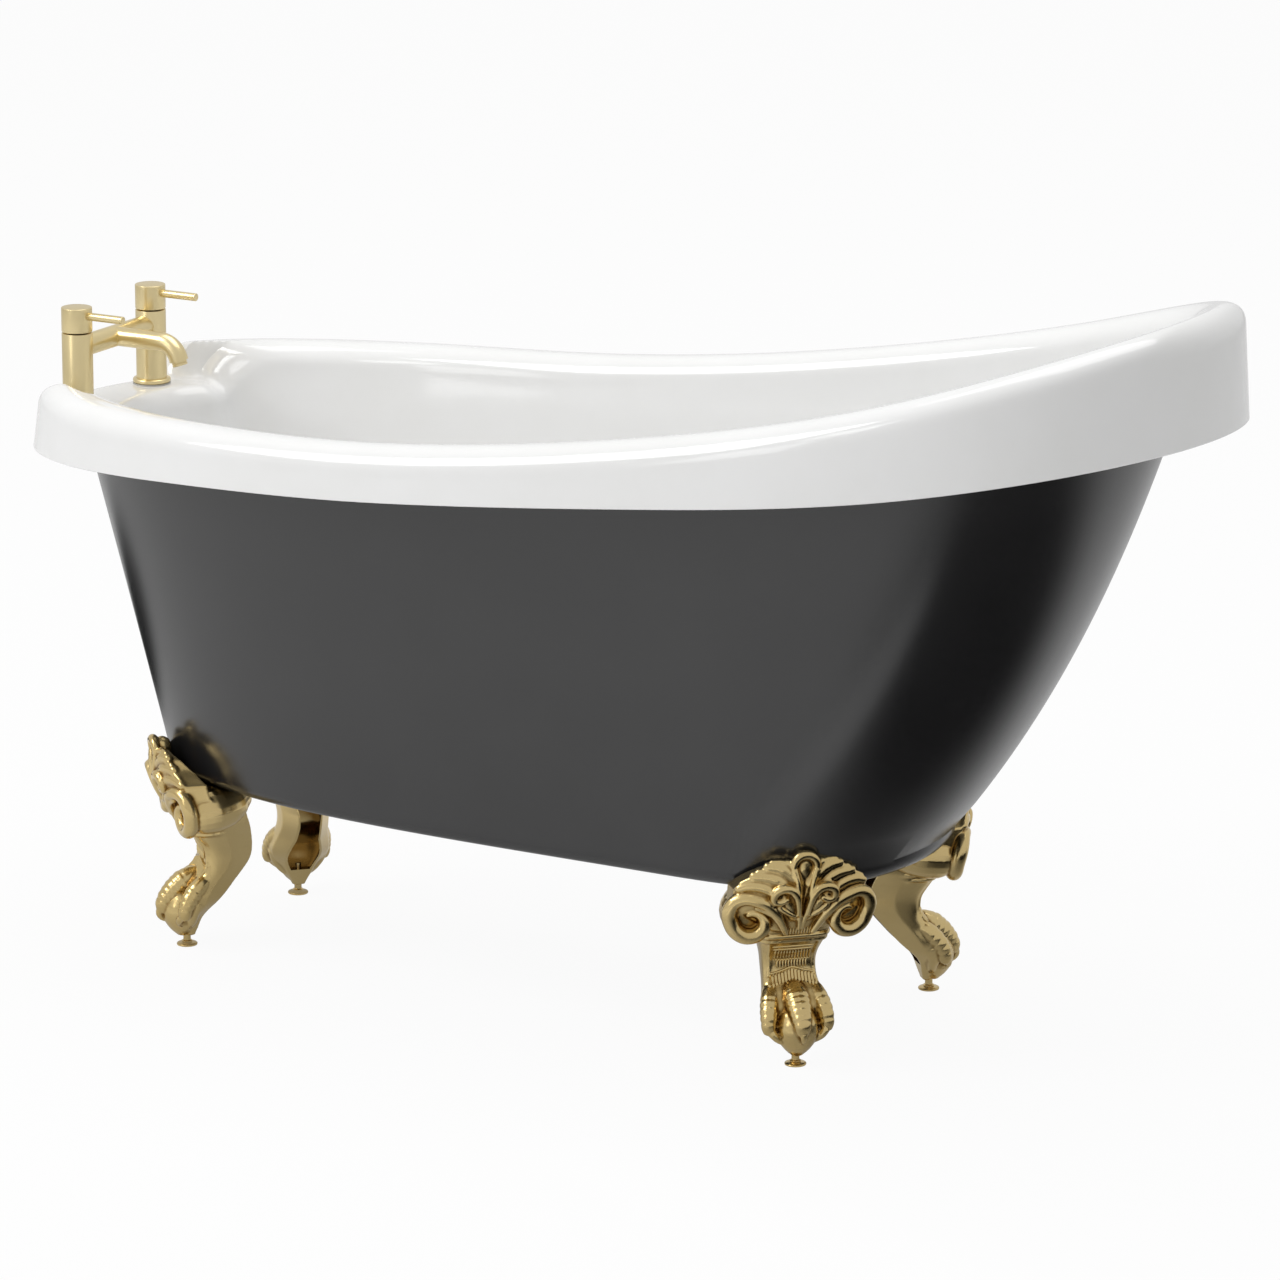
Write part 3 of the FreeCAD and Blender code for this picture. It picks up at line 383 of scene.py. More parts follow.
def rounded_bar(radius: float, length: float, edge: float, bore: float = 0.0) -> list[tuple[float, float]]:
    """Profile of a round bar with rounded ends.

    Args:
        radius: bar radius.
        length: bar length.
        edge: radius of the rounded edges.
        bore: radius of a hole through it, or zero.

    Returns:
        (radius, height) pairs for lathe.
    """
    turns = [k * math.pi / (2 * EDGE_STEPS) for k in range(EDGE_STEPS + 1)]
    low = [(radius - edge + edge * math.sin(t), edge - edge * math.cos(t)) for t in turns]
    high = [(r, length - h) for r, h in reversed(low)]
    profile = [(bore, 0.0)] + low + high + [(bore, length)]
    if bore > 0.0:
        profile.append((bore, 0.0))
    return profile


def evaluated_mesh(obj: bpy.types.Object) -> bpy.types.Mesh:
    """Plain mesh of an object with its modifiers applied.

    Args:
        obj: object to evaluate.

    Returns:
        The new mesh.
    """
    graph = bpy.context.evaluated_depsgraph_get()
    graph.update()
    return bpy.data.meshes.new_from_object(obj.evaluated_get(graph))


def drop(obj: bpy.types.Object) -> None:
    """Remove a helper object."""
    bpy.data.objects.remove(obj, do_unlink=True)


def linked(name: str, mesh: bpy.types.Mesh) -> bpy.types.Object:
    """New object in the scene.

    Args:
        name: object name.
        mesh: its mesh.

    Returns:
        The new object.
    """
    obj = bpy.data.objects.new(name, mesh)
    bpy.context.scene.collection.objects.link(obj)
    return obj


def carve(mesh: bpy.types.Mesh, cutter: bpy.types.Mesh) -> bpy.types.Mesh:
    """Cut one closed mesh out of another.

    Args:
        mesh: mesh to change.
        cutter: mesh that cuts.

    Returns:
        The new mesh.
    """
    body = linked("carve_body", mesh)
    tool = linked("carve_tool", cutter)
    change = body.modifiers.new("carve", "BOOLEAN")
    change.operation = "DIFFERENCE"
    change.solver = "MANIFOLD"
    change.object = tool
    result = evaluated_mesh(body)
    drop(body)
    drop(tool)
    return result


def slot_of(node: str) -> str:
    """Material slot that the record gives a node."""
    return next(s["material_slot"] for s in frame["record"]["subparts"] if s["node"] == node)


def finish_piece(name: str, mesh: bpy.types.Mesh, finish: Finish, body: str, node: str) -> None:
    """Put a finished mesh in the scene in place of a solid, riding on its body.

    Args:
        name: piece name.
        mesh: the mesh, already in place.
        finish: surface finish.
        body: CAD body that it rides on.
        node: CAD node that it stands for.
    """
    mesh.materials.clear()
    mesh.materials.append(SHELF.get(finish))
    mesh.shade_smooth()
    mesh.set_sharp_from_angle(angle=CREASE_ANGLE)
    obj = linked(name, mesh)
    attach(obj, body)
    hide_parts(node)
    SHOWN_AS_PIECES.add(node)
    LOG.info("piece %s on %s: %d faces", name, body, len(mesh.polygons))


# Node trees that repeat a shape or follow a path


def new_tree(name: str, inputs: Sequence[tuple[str, str]]) -> tuple[bpy.types.NodeTree, dict[str, str]]:
    """Start a geometry node tree with named inputs.

    Args:
        name: tree name.
        inputs: (socket name, socket type) pairs.

    Returns:
        The tree and the identifiers of its inputs by name.
    """
    tree = bpy.data.node_groups.new(name, "GeometryNodeTree")
    marks = {}
    for label, kind in inputs:
        socket = tree.interface.new_socket(label, in_out="INPUT", socket_type=kind)
        marks[label] = socket.identifier
    tree.interface.new_socket("Geometry", in_out="OUTPUT", socket_type="NodeSocketGeometry")
    tree.nodes.new("NodeGroupInput")
    tree.nodes.new("NodeGroupOutput")
    return tree, marks


def wire(tree: bpy.types.NodeTree, source: bpy.types.NodeSocket, node: bpy.types.Node, label: str) -> None:
    """Link a socket to a node's named input."""
    tree.links.new(source, node.inputs[label])


def end_tree(tree: bpy.types.NodeTree, geometry: bpy.types.NodeSocket, material: bpy.types.Material) -> None:
    """Close a tree with realised instances and a material.

    Args:
        tree: tree to close.
        geometry: what it has made.
        material: material that it sets.
    """
    real = tree.nodes.new("GeometryNodeRealizeInstances")
    paint = tree.nodes.new("GeometryNodeSetMaterial")
    paint.inputs["Material"].default_value = material
    tree.links.new(geometry, real.inputs["Geometry"])
    tree.links.new(real.outputs["Geometry"], paint.inputs["Geometry"])
    tree.links.new(paint.outputs["Geometry"], tree.nodes["Group Output"].inputs["Geometry"])


def grown(tree: bpy.types.NodeTree, values: dict[str, object]) -> bpy.types.Mesh:
    """Run a tree on an empty host and keep the plain mesh.

    Args:
        tree: geometry node tree.
        values: input values by socket identifier.

    Returns:
        The mesh that the tree makes.
    """
    host = linked("grown", bpy.data.meshes.new("grown"))
    change = host.modifiers.new("grow", "NODES")
    change.node_group = tree
    for mark, value in values.items():
        change[mark] = value
    mesh = evaluated_mesh(host)
    host.modifiers.remove(change)
    drop(host)
    return mesh


class RollTree:
    """Round rolls of changing thickness that follow curves."""

    def __init__(self, finish: Finish) -> None:
        """Build the tree once.

        Args:
            finish: surface finish that the tree sets.
        """
        self.tree, self.marks = new_tree("rolls_along_paths", [
            ("Paths", "NodeSocketObject"), ("Step", "NodeSocketFloat"), ("Sides", "NodeSocketInt")])
        tree = self.tree
        given = tree.nodes["Group Input"]
        paths = tree.nodes.new("GeometryNodeObjectInfo")
        wire(tree, given.outputs["Paths"], paths, "Object")
        even = tree.nodes.new("GeometryNodeResampleCurve")
        even.mode = "LENGTH"
        wire(tree, paths.outputs["Geometry"], even, "Curve")
        wire(tree, given.outputs["Step"], even, "Length")
        circle = tree.nodes.new("GeometryNodeCurvePrimitiveCircle")
        circle.inputs["Radius"].default_value = 1.0
        wire(tree, given.outputs["Sides"], circle, "Resolution")
        thick = tree.nodes.new("GeometryNodeInputRadius")
        sweep = tree.nodes.new("GeometryNodeCurveToMesh")
        sweep.inputs["Fill Caps"].default_value = True
        tree.links.new(even.outputs["Curve"], sweep.inputs["Curve"])
        tree.links.new(circle.outputs["Curve"], sweep.inputs["Profile Curve"])
        if "Scale" in sweep.inputs:
            tree.links.new(thick.outputs["Radius"], sweep.inputs["Scale"])
        end_tree(tree, sweep.outputs["Mesh"], SHELF.get(finish))

    def make(self, rolls: Sequence[Roll], step: float, sides: int) -> bpy.types.Mesh:
        """Sweep rolls along smooth curves.

        Args:
            rolls: lists of (x, y, z, radius), each a curve through its points.
            step: spacing of the rings.
            sides: points round each ring.

        Returns:
            One mesh of all the rolls.
        """
        data = bpy.data.curves.new("roll_paths", "CURVE")
        data.dimensions = "3D"
        data.resolution_u = CURVE_STEPS
        for roll in rolls:
            spline = data.splines.new("BEZIER")
            spline.bezier_points.add(len(roll) - 1)
            for knot, (x, y, z, radius) in zip(spline.bezier_points, roll):
                knot.co = (x, y, z)
                knot.radius = radius
                knot.handle_left_type = "AUTO"
                knot.handle_right_type = "AUTO"
        paths = bpy.data.objects.new("roll_paths", data)
        bpy.context.scene.collection.objects.link(paths)
        mesh = grown(self.tree, {self.marks["Paths"]: paths, self.marks["Step"]: step,
                                 self.marks["Sides"]: sides})
        drop(paths)
        return mesh


def drill(spot: Point, axis: Point, radius: float) -> bpy.types.Mesh:
    """Round cutter about a spot.

    Args:
        spot: middle of the hole.
        axis: direction of the hole.
        radius: hole radius.

    Returns:
        The closed cutter.
    """
    start = Vector(spot) - Vector(axis).normalized() * DRILL_LENGTH / 2
    profile = [(0.0, 0.0), (radius, 0.0), (radius, DRILL_LENGTH), (0.0, DRILL_LENGTH)]
    return lathe(profile, tuple(start), DRILL_STEPS, axis).mesh("drill")


# Tub


@dataclass
class TubOutline:
    """Plan outline and heights shared by the shell and the skin, in metres."""

    length: float = 1.550
    width: float = 0.630
    widest_share: float = 0.09
    slipper_crest: float = 0.885
    tap_crest: float = 0.677
    slipper_edge: float = 0.754
    tap_edge: float = 0.592
    edge_rise_shares: tuple[float, ...] = (0.0, 0.141, 0.247, 0.429, 0.665, 1.0)
    crest_rise_shares: tuple[float, ...] = (0.0, 0.016, 0.074, 0.259, 0.557, 1.0)
    rim_powers: tuple[float, float] = (3.98, 3.29)
    rim_flare: float = 0.006
    crest_radius: float = 0.030
    deck_height: float = 0.6345
    deck_half_width: float = 0.106
    deck_blend: float = 0.036
    tongue_half_width: float = 0.092
    tongue_blend: float = 0.056
    station_count: int = 181
    deck_stations: tuple[float, float, int] = (0.03, 0.14, 60)
    turn_count: int = 1201

    def __post_init__(self) -> None:
        """Spread the stations along half the outline, closest round the tap deck's corners."""
        slow = np.linspace(0.0, 1.0, self.station_count)
        near = np.linspace(*self.deck_stations)
        self.stations = np.unique(np.round(np.concatenate([slow, near]), 6))
        self.widest_x = self.widest_share * self.length

    @staticmethod
    def curve(shares: Sequence[float], place: np.ndarray) -> np.ndarray:
        """Smooth curve through evenly spaced shares.

        Args:
            shares: values at even steps.
            place: where to read it, 0 to 1.

        Returns:
            The values there.
        """
        known = np.asarray(shares)
        ends = np.concatenate([[2 * known[0] - known[1]], known, [2 * known[-1] - known[-2]]])
        last = len(known) - 1
        spot = np.clip(place, 0.0, 1.0) * last
        i = np.minimum(spot.astype(int), last - 1)
        f = spot - i
        rise_in = (ends[i + 2] - ends[i]) / 2
        rise_out = (ends[i + 3] - ends[i + 1]) / 2
        step = ends[i + 2] - ends[i + 1]
        return ends[i + 1] + f * (rise_in + f * (3 * step - 2 * rise_in - rise_out
                                                 + f * (rise_in + rise_out - 2 * step)))

    def edge_height(self, x: np.ndarray) -> np.ndarray:
        """Height of the rim's lower edge at places along the tub."""
        rise = self.curve(self.edge_rise_shares, x / self.length + 0.5)
        return self.tap_edge + (self.slipper_edge - self.tap_edge) * rise

    def crest_height(self, x: np.ndarray, y: np.ndarray, spread: float = 0.0) -> np.ndarray:
        """Height of the rim's top, which dips to the flat tap deck between the taps.

        Args:
            x: places along the tub.
            y: places across the tub.
            spread: how much further the dip reaches than on the crest.

        Returns:
            Heights there.
        """
        run = self.length - 2 * (self.rim_flare + self.crest_radius)
        rise = self.curve(self.crest_rise_shares, x / run + 0.5)
        crest = self.tap_crest + (self.slipper_crest - self.tap_crest) * rise
        beside = np.abs(y) - self.deck_half_width - 0.5 * spread
        dipped = self.deck_height + (crest - self.deck_height) * self.ease(beside / (self.deck_blend + spread))
        return np.where(x > self.widest_x, crest, dipped)

    @staticmethod
    def ease(share: np.ndarray) -> np.ndarray:
        """Soft step from 0 to 1."""
        t = np.clip(share, 0.0, 1.0)
        return t ** 3 * (10 - 15 * t + 6 * t * t)

    def ring(self, insets: Sequence[float], powers: Sequence[float],
             height: Callable[[np.ndarray, np.ndarray], np.ndarray], tongue: float = 0.0) -> np.ndarray:
        """Closed ring of points round the tub.

        Args:
            insets: distances inward from the rim's outer edge at tap end, sides and slipper end.
            powers: roundness of the tap end and the slipper end.
            height: z from x and y.
            tongue: how much further in the ring runs under the tap deck.

        Returns:
            Points of the ring.
        """
        turn = np.linspace(math.pi, 0.0, self.turn_count)
        c = np.cos(turn)
        tap_reach = self.widest_x + self.length / 2 - insets[0]
        slipper_reach = self.length / 2 - self.widest_x - insets[2]
        x = np.where(c < 0, self.widest_x - tap_reach * np.abs(c) ** (2 / powers[0]),
                     self.widest_x + slipper_reach * np.abs(c) ** (2 / powers[1]))
        y = (self.width / 2 - insets[1]) * np.sin(turn)
        run = np.concatenate([[0.0], np.cumsum(np.hypot(np.diff(x), np.diff(y)))])
        goal = self.stations * run[-1]
        hx = np.interp(goal, run, x)
        hy = np.interp(goal, run, y)
        hy[0] = hy[-1] = 0.0
        loop_x = np.concatenate([hx, hx[-2:0:-1]])
        loop_y = np.concatenate([hy, -hy[-2:0:-1]])
        bulge = 1 - self.ease((np.abs(loop_y) - self.tongue_half_width) / self.tongue_blend)
        loop_x = loop_x + np.where(loop_x < 0, tongue * bulge, 0.0)
        return np.stack([loop_x, loop_y, height(loop_x, loop_y) * np.ones_like(loop_x)], axis=1)


def flat(z: float) -> Callable[[np.ndarray, np.ndarray], np.ndarray]:
    """Height function of a level ring."""
    return lambda x, y: np.full_like(x, z)


@dataclass
class BathShell:
    """White basin with its rolled rim and flat tap deck."""

    outline: TubOutline
    wall: float = 0.006
    crest_flat: float = 0.006
    inner_roll: float = 0.028
    deck_flat: float = 0.010
    deck_roll: float = 0.036
    top_tongue: float = 0.046
    mouth_tongue: float = 0.030
    inner_spread: float = 0.019
    floor_height: float = 0.237
    floor_insets: tuple[float, float, float] = (0.200, 0.140, 0.395)
    floor_round: float = 0.060
    slipper_shares: tuple[float, ...] = (0.0, 0.268, 0.484, 0.664, 0.813, 1.0)
    basin_powers: tuple[float, float] = (3.9, 4.0)
    wall_start: float = 0.2
    wall_steps: int = 22
    turn_steps: int = 9
    crest_shares: tuple[float, ...] = (0.2, 0.4, 0.6, 0.8)
    skirt_shares: tuple[float, ...] = (0.2, 0.4, 0.6, 0.8, 0.93, 1.0)
    lip_share: float = 0.7
    lip_drop: float = 0.0006
    waste_hole: Hole = ((-0.375, 0.0, 0.234), UP, 0.0259)
    overflow_hole: Hole = ((-0.6502, 0.0, 0.546), (0.9728, 0.0, 0.2317), 0.011)
    near_tap_hole: Hole = ((-0.702, -0.0787, 0.6315), UP, 0.0145)
    far_tap_hole: Hole = ((-0.702, 0.0787, 0.6315), UP, 0.0145)

    def __post_init__(self) -> None:
        """Work out the insets of the crest and the mouth."""
        o = self.outline
        self.crest_in = o.rim_flare + o.crest_radius
        side = self.crest_in + self.crest_flat
        self.top_insets = (self.crest_in + self.deck_flat, side, side)
        self.mouth_insets = (self.top_insets[0] + self.deck_roll, side + self.inner_roll, side + self.inner_roll)

    def _between(self, share: float, slide: float, tuck: float) -> tuple[float, float, float]:
        """Insets at a share of the way from floor to mouth.

        Args:
            share: share at the tap end and sides.
            slide: share at the slipper end.
            tuck: further inset all round.

        Returns:
            The three insets.
        """
        steps = (share, share, slide)
        return tuple(f + (m - f) * s + tuck for f, m, s in zip(self.floor_insets, self.mouth_insets, steps))

    def _floor_rings(self, wall: float) -> list[np.ndarray]:
        """Rings of the rounded foot of the basin wall, from the flat floor up.

        Args:
            wall: depth below the white face.

        Returns:
            The rings in order.
        """
        o = self.outline
        bend = self.floor_round + wall
        share = self.floor_round / (o.deck_height - self.inner_roll - self.floor_height)
        high = self.floor_round / (o.slipper_crest - self.inner_roll - self.floor_height)
        slide = float(o.curve(self.slipper_shares, np.array([high]))[0])
        rings = []
        for turn in np.linspace(math.pi / 2, 0.0, self.turn_steps):
            tuck = self.floor_round - bend * math.cos(turn)
            z = self.floor_height + self.floor_round - bend * math.sin(turn)
            rings.append(o.ring(self._between(share, slide, tuck), self.basin_powers, flat(z),
                                self.mouth_tongue * share))
        return rings

    def _wall_rings(self, wall: float) -> list[np.ndarray]:
        """Rings of the basin wall up to the roll.

        Args:
            wall: depth below the white face.

        Returns:
            The rings in order.
        """
        o = self.outline
        rings = []
        for share in np.linspace(self.wall_start, 1.0, self.wall_steps):
            slide = float(o.curve(self.slipper_shares, np.array([share]))[0])
            powers = tuple(b + (r - b) * share for b, r in zip(self.basin_powers, o.rim_powers))
            rings.append(o.ring(self._between(share, slide, -wall), powers, lambda x, y, s=share: (
                self.floor_height
                + (o.crest_height(x, y, self.inner_spread) - self.inner_roll - self.floor_height) * s),
                self.mouth_tongue * share))
        return rings

    def _roll_rings(self, wall: float) -> list[np.ndarray]:
        """Rings over the inner roll and the outer crest.

        Args:
            wall: depth below the white face.

        Returns:
            The rings in order.
        """
        o = self.outline
        rings = []
        for turn in np.linspace(0.0, math.pi / 2, self.turn_steps)[1:]:
            swing = math.cos(turn)
            spans = (self.deck_roll - wall, self.inner_roll - wall, self.inner_roll - wall)
            insets = tuple(t + s * swing for t, s in zip(self.top_insets, spans))
            drop_by = self.inner_roll - (self.inner_roll - wall) * math.sin(turn)
            tongue = self.top_tongue + (self.mouth_tongue - self.top_tongue) * swing
            rings.append(o.ring(insets, o.rim_powers, lambda x, y, d=drop_by: (
                o.crest_height(x, y, self.inner_spread) - d), tongue))
        for step in self.crest_shares:
            insets = tuple(t + (self.crest_in - t) * step for t in self.top_insets)
            rings.append(o.ring(insets, o.rim_powers, lambda x, y, s=step: (
                o.crest_height(x, y, self.inner_spread * (1 - s)) - wall), self.top_tongue * (1 - step)))
        reach = o.crest_radius - wall
        for turn in np.linspace(math.pi / 2, 0.0, self.turn_steps):
            inset = self.crest_in - reach * math.cos(turn)
            drop_by = o.crest_radius - reach * math.sin(turn)
            rings.append(o.ring((inset,) * 3, o.rim_powers,
                                lambda x, y, d=drop_by: o.crest_height(x, y) - d))
        return rings

    def _skirt_rings(self, wall: float, last: np.ndarray) -> list[np.ndarray]:
        """Rings of the skirt from the crest's outer side down to the lower edge.

        Args:
            wall: depth below the white face.
            last: the ring that the skirt goes on from.

        Returns:
            The rings in order.
        """
        o = self.outline
        edge = o.ring((wall,) * 3, o.rim_powers, lambda x, y: o.edge_height(x))
        return [last + (edge - last) * s for s in self.skirt_shares]

    def side(self, wall: float) -> list[np.ndarray]:
        """All rings of one face of the shell, from the floor to the lip.

        Args:
            wall: depth below the white face.

        Returns:
            The rings in order.
        """
        rings = self._floor_rings(wall) + self._wall_rings(wall) + self._roll_rings(wall)
        return rings + self._skirt_rings(wall, rings[-1])

    def build(self) -> None:
        """Make the shell and put it on the tub."""
        face = self.side(0.0)
        back = self.side(self.wall)
        edge_mid = (face[-1] + back[-1]) / 2
        lip = [edge_mid + (edge - edge_mid) * self.lip_share - np.array([0.0, 0.0, self.lip_drop])
               for edge in (face[-1], back[-1])]
        parts = MeshParts()
        parts.capped_rings(face + lip + back[::-1])
        mesh = parts.mesh("bath_shell_white")
        for hole in (self.waste_hole, self.overflow_hole, self.near_tap_hole, self.far_tap_hole):
            mesh = carve(mesh, drill(*hole))
        finish_piece("bath_shell_white", mesh, WHITE_GLOSS, "tub", "bath_shell")


@dataclass
class OuterSkin:
    """Dark outer skin that tapers from the rim to a flat bottom."""

    outline: TubOutline
    wall: float = 0.005
    bottom: float = 0.208
    insets_low: tuple[float, float, float] = (0.1714, 0.1113, 0.3804)
    insets_high: tuple[float, float, float] = (0.0715, 0.0385, 0.0928)
    slipper_shares: tuple[float, float, float] = (1.46, -0.575, 0.115)
    powers: tuple[float, float] = (3.85, 4.1)
    corner_round: float = 0.022
    flange_inset: float = 0.011
    flange_rise: float = 0.003
    flange_wall: float = 0.004
    side_start: float = 0.12
    side_steps: int = 30
    turn_steps: int = 8
    waste_hole: Hole = ((-0.375, 0.0, 0.2105), UP, 0.0259)

    def _insets(self, share: float, climb: float, extra: float) -> tuple[float, ...]:
        """Insets part of the way from the bottom to the rim's edge.

        Args:
            share: share of the way at the tap end and the sides.
            climb: share of the way at the slipper end.
            extra: further inset all round.

        Returns:
            The three insets.
        """
        steps = (share, share, climb)
        return tuple(a + (b - a) * s + extra for a, b, s in zip(self.insets_low, self.insets_high, steps))

    def _side(self, wall: float, rise: float) -> list[np.ndarray]:
        """Rings of one face from the flat bottom up to the flange.

        Args:
            wall: depth below the outer face.
            rise: how far the last ring stands above the rim's edge.

        Returns:
            The rings in order.
        """
        o = self.outline
        bend = self.corner_round - wall
        share = self.corner_round / (o.tap_edge - self.bottom)
        climb = self.slipper_shares[0] * self.corner_round / (o.slipper_edge - self.bottom)
        rings = []
        for turn in np.linspace(math.pi / 2, 0.0, self.turn_steps):
            tuck = self.corner_round - bend * math.cos(turn)
            z = self.bottom + self.corner_round - bend * math.sin(turn)
            rings.append(o.ring(self._insets(share, climb, tuck), self.powers, flat(z)))
        for s in np.linspace(self.side_start, 1.0, self.side_steps):
            climb = sum(c * s ** (n + 1) for n, c in enumerate(self.slipper_shares))
            rings.append(o.ring(self._insets(s, climb, wall), self.powers, lambda x, y, s=s: (
                self.bottom + (o.edge_height(x) - self.bottom) * s + rise * s)))
        return rings

    def build(self) -> None:
        """Make the skin and put it on the tub."""
        o = self.outline
        face = self._side(0.0, self.flange_rise)
        back = self._side(self.wall, self.flange_rise + self.flange_wall)
        flange = [o.ring((self.flange_inset,) * 3, o.rim_powers, lambda x, y, r=r: o.edge_height(x) + r)
                  for r in (self.flange_rise, self.flange_rise + self.flange_wall)]
        parts = MeshParts()
        parts.capped_rings(face + flange + back[::-1])
        mesh = carve(parts.mesh("outer_skin_black"), drill(*self.waste_hole))
        finish_piece("outer_skin_black", mesh, BLACK_SATIN, "tub", "outer_skin")


# Claw foot

TIP_STEPS = ((0.62, 0.74), (0.92, 0.25))
TABLE_STEP = 0.5
TABLE_REACH = 3
FOLD_POINTS = 8
PLAIN_POINTS = 25
SOFTEN_PASSES = 3
FOLD_SHARPNESS = 6


def mirrored(rolls: Sequence[Roll]) -> list[Roll]:
    """Rolls together with their copies on the other side of the foot."""
    return list(rolls) + [[(u, -v, z, r) for u, v, z, r in roll] for roll in rolls]


def rounded_ends(roll: Roll, first: bool = True, last: bool = True) -> Roll:
    """Add small end points so that a roll closes in a round tip.

    Args:
        roll: points and radii.
        first: round the first end.
        last: round the last end.

    Returns:
        The longer roll.
    """
    def tip(end: Sequence[float], inner: Sequence[float], reach: float, share: float) -> tuple[float, ...]:
        """Point past an end, with its smaller radius.

        Args:
            end: last point of the roll.
            inner: the point before it.
            reach: how far past, in radii.
            share: share of the end's radius.

        Returns:
            The point and its radius.
        """
        way = Vector(end[:3]) - Vector(inner[:3])
        spot = Vector(end[:3]) + way.normalized() * end[3] * reach
        return (*spot, end[3] * share)

    done = list(roll)
    if last:
        done += [tip(roll[-1], roll[-2], *step) for step in TIP_STEPS]
    if first:
        done = [tip(roll[0], roll[1], *step) for step in reversed(TIP_STEPS)] + done
    return done


def eased(table: Sequence[Sequence[float]], spread: float) -> np.ndarray:
    """Fine table through given rows, its corners rounded.

    Args:
        table: rows of a place and the values there.
        spread: distance over which a corner is rounded.

    Returns:
        Rows a table step apart.
    """
    rows = np.array(table)
    reach = TABLE_REACH * spread
    near = np.arange(-reach, reach + TABLE_STEP / 2, TABLE_STEP)
    weight = np.exp(-(near / spread) ** 2 / 2)
    weight /= weight.sum()
    margin = (len(near) - 1) // 2
    past = TABLE_STEP * margin
    grid = np.arange(rows[0, 0] - past, rows[-1, 0] + past + TABLE_STEP / 2, TABLE_STEP)
    columns = [grid[margin:len(grid) - margin]]
    for k in range(1, rows.shape[1]):
        columns.append(np.convolve(np.interp(grid, rows[:, 0], rows[:, k]), weight, "valid"))
    return np.stack(columns, axis=1)


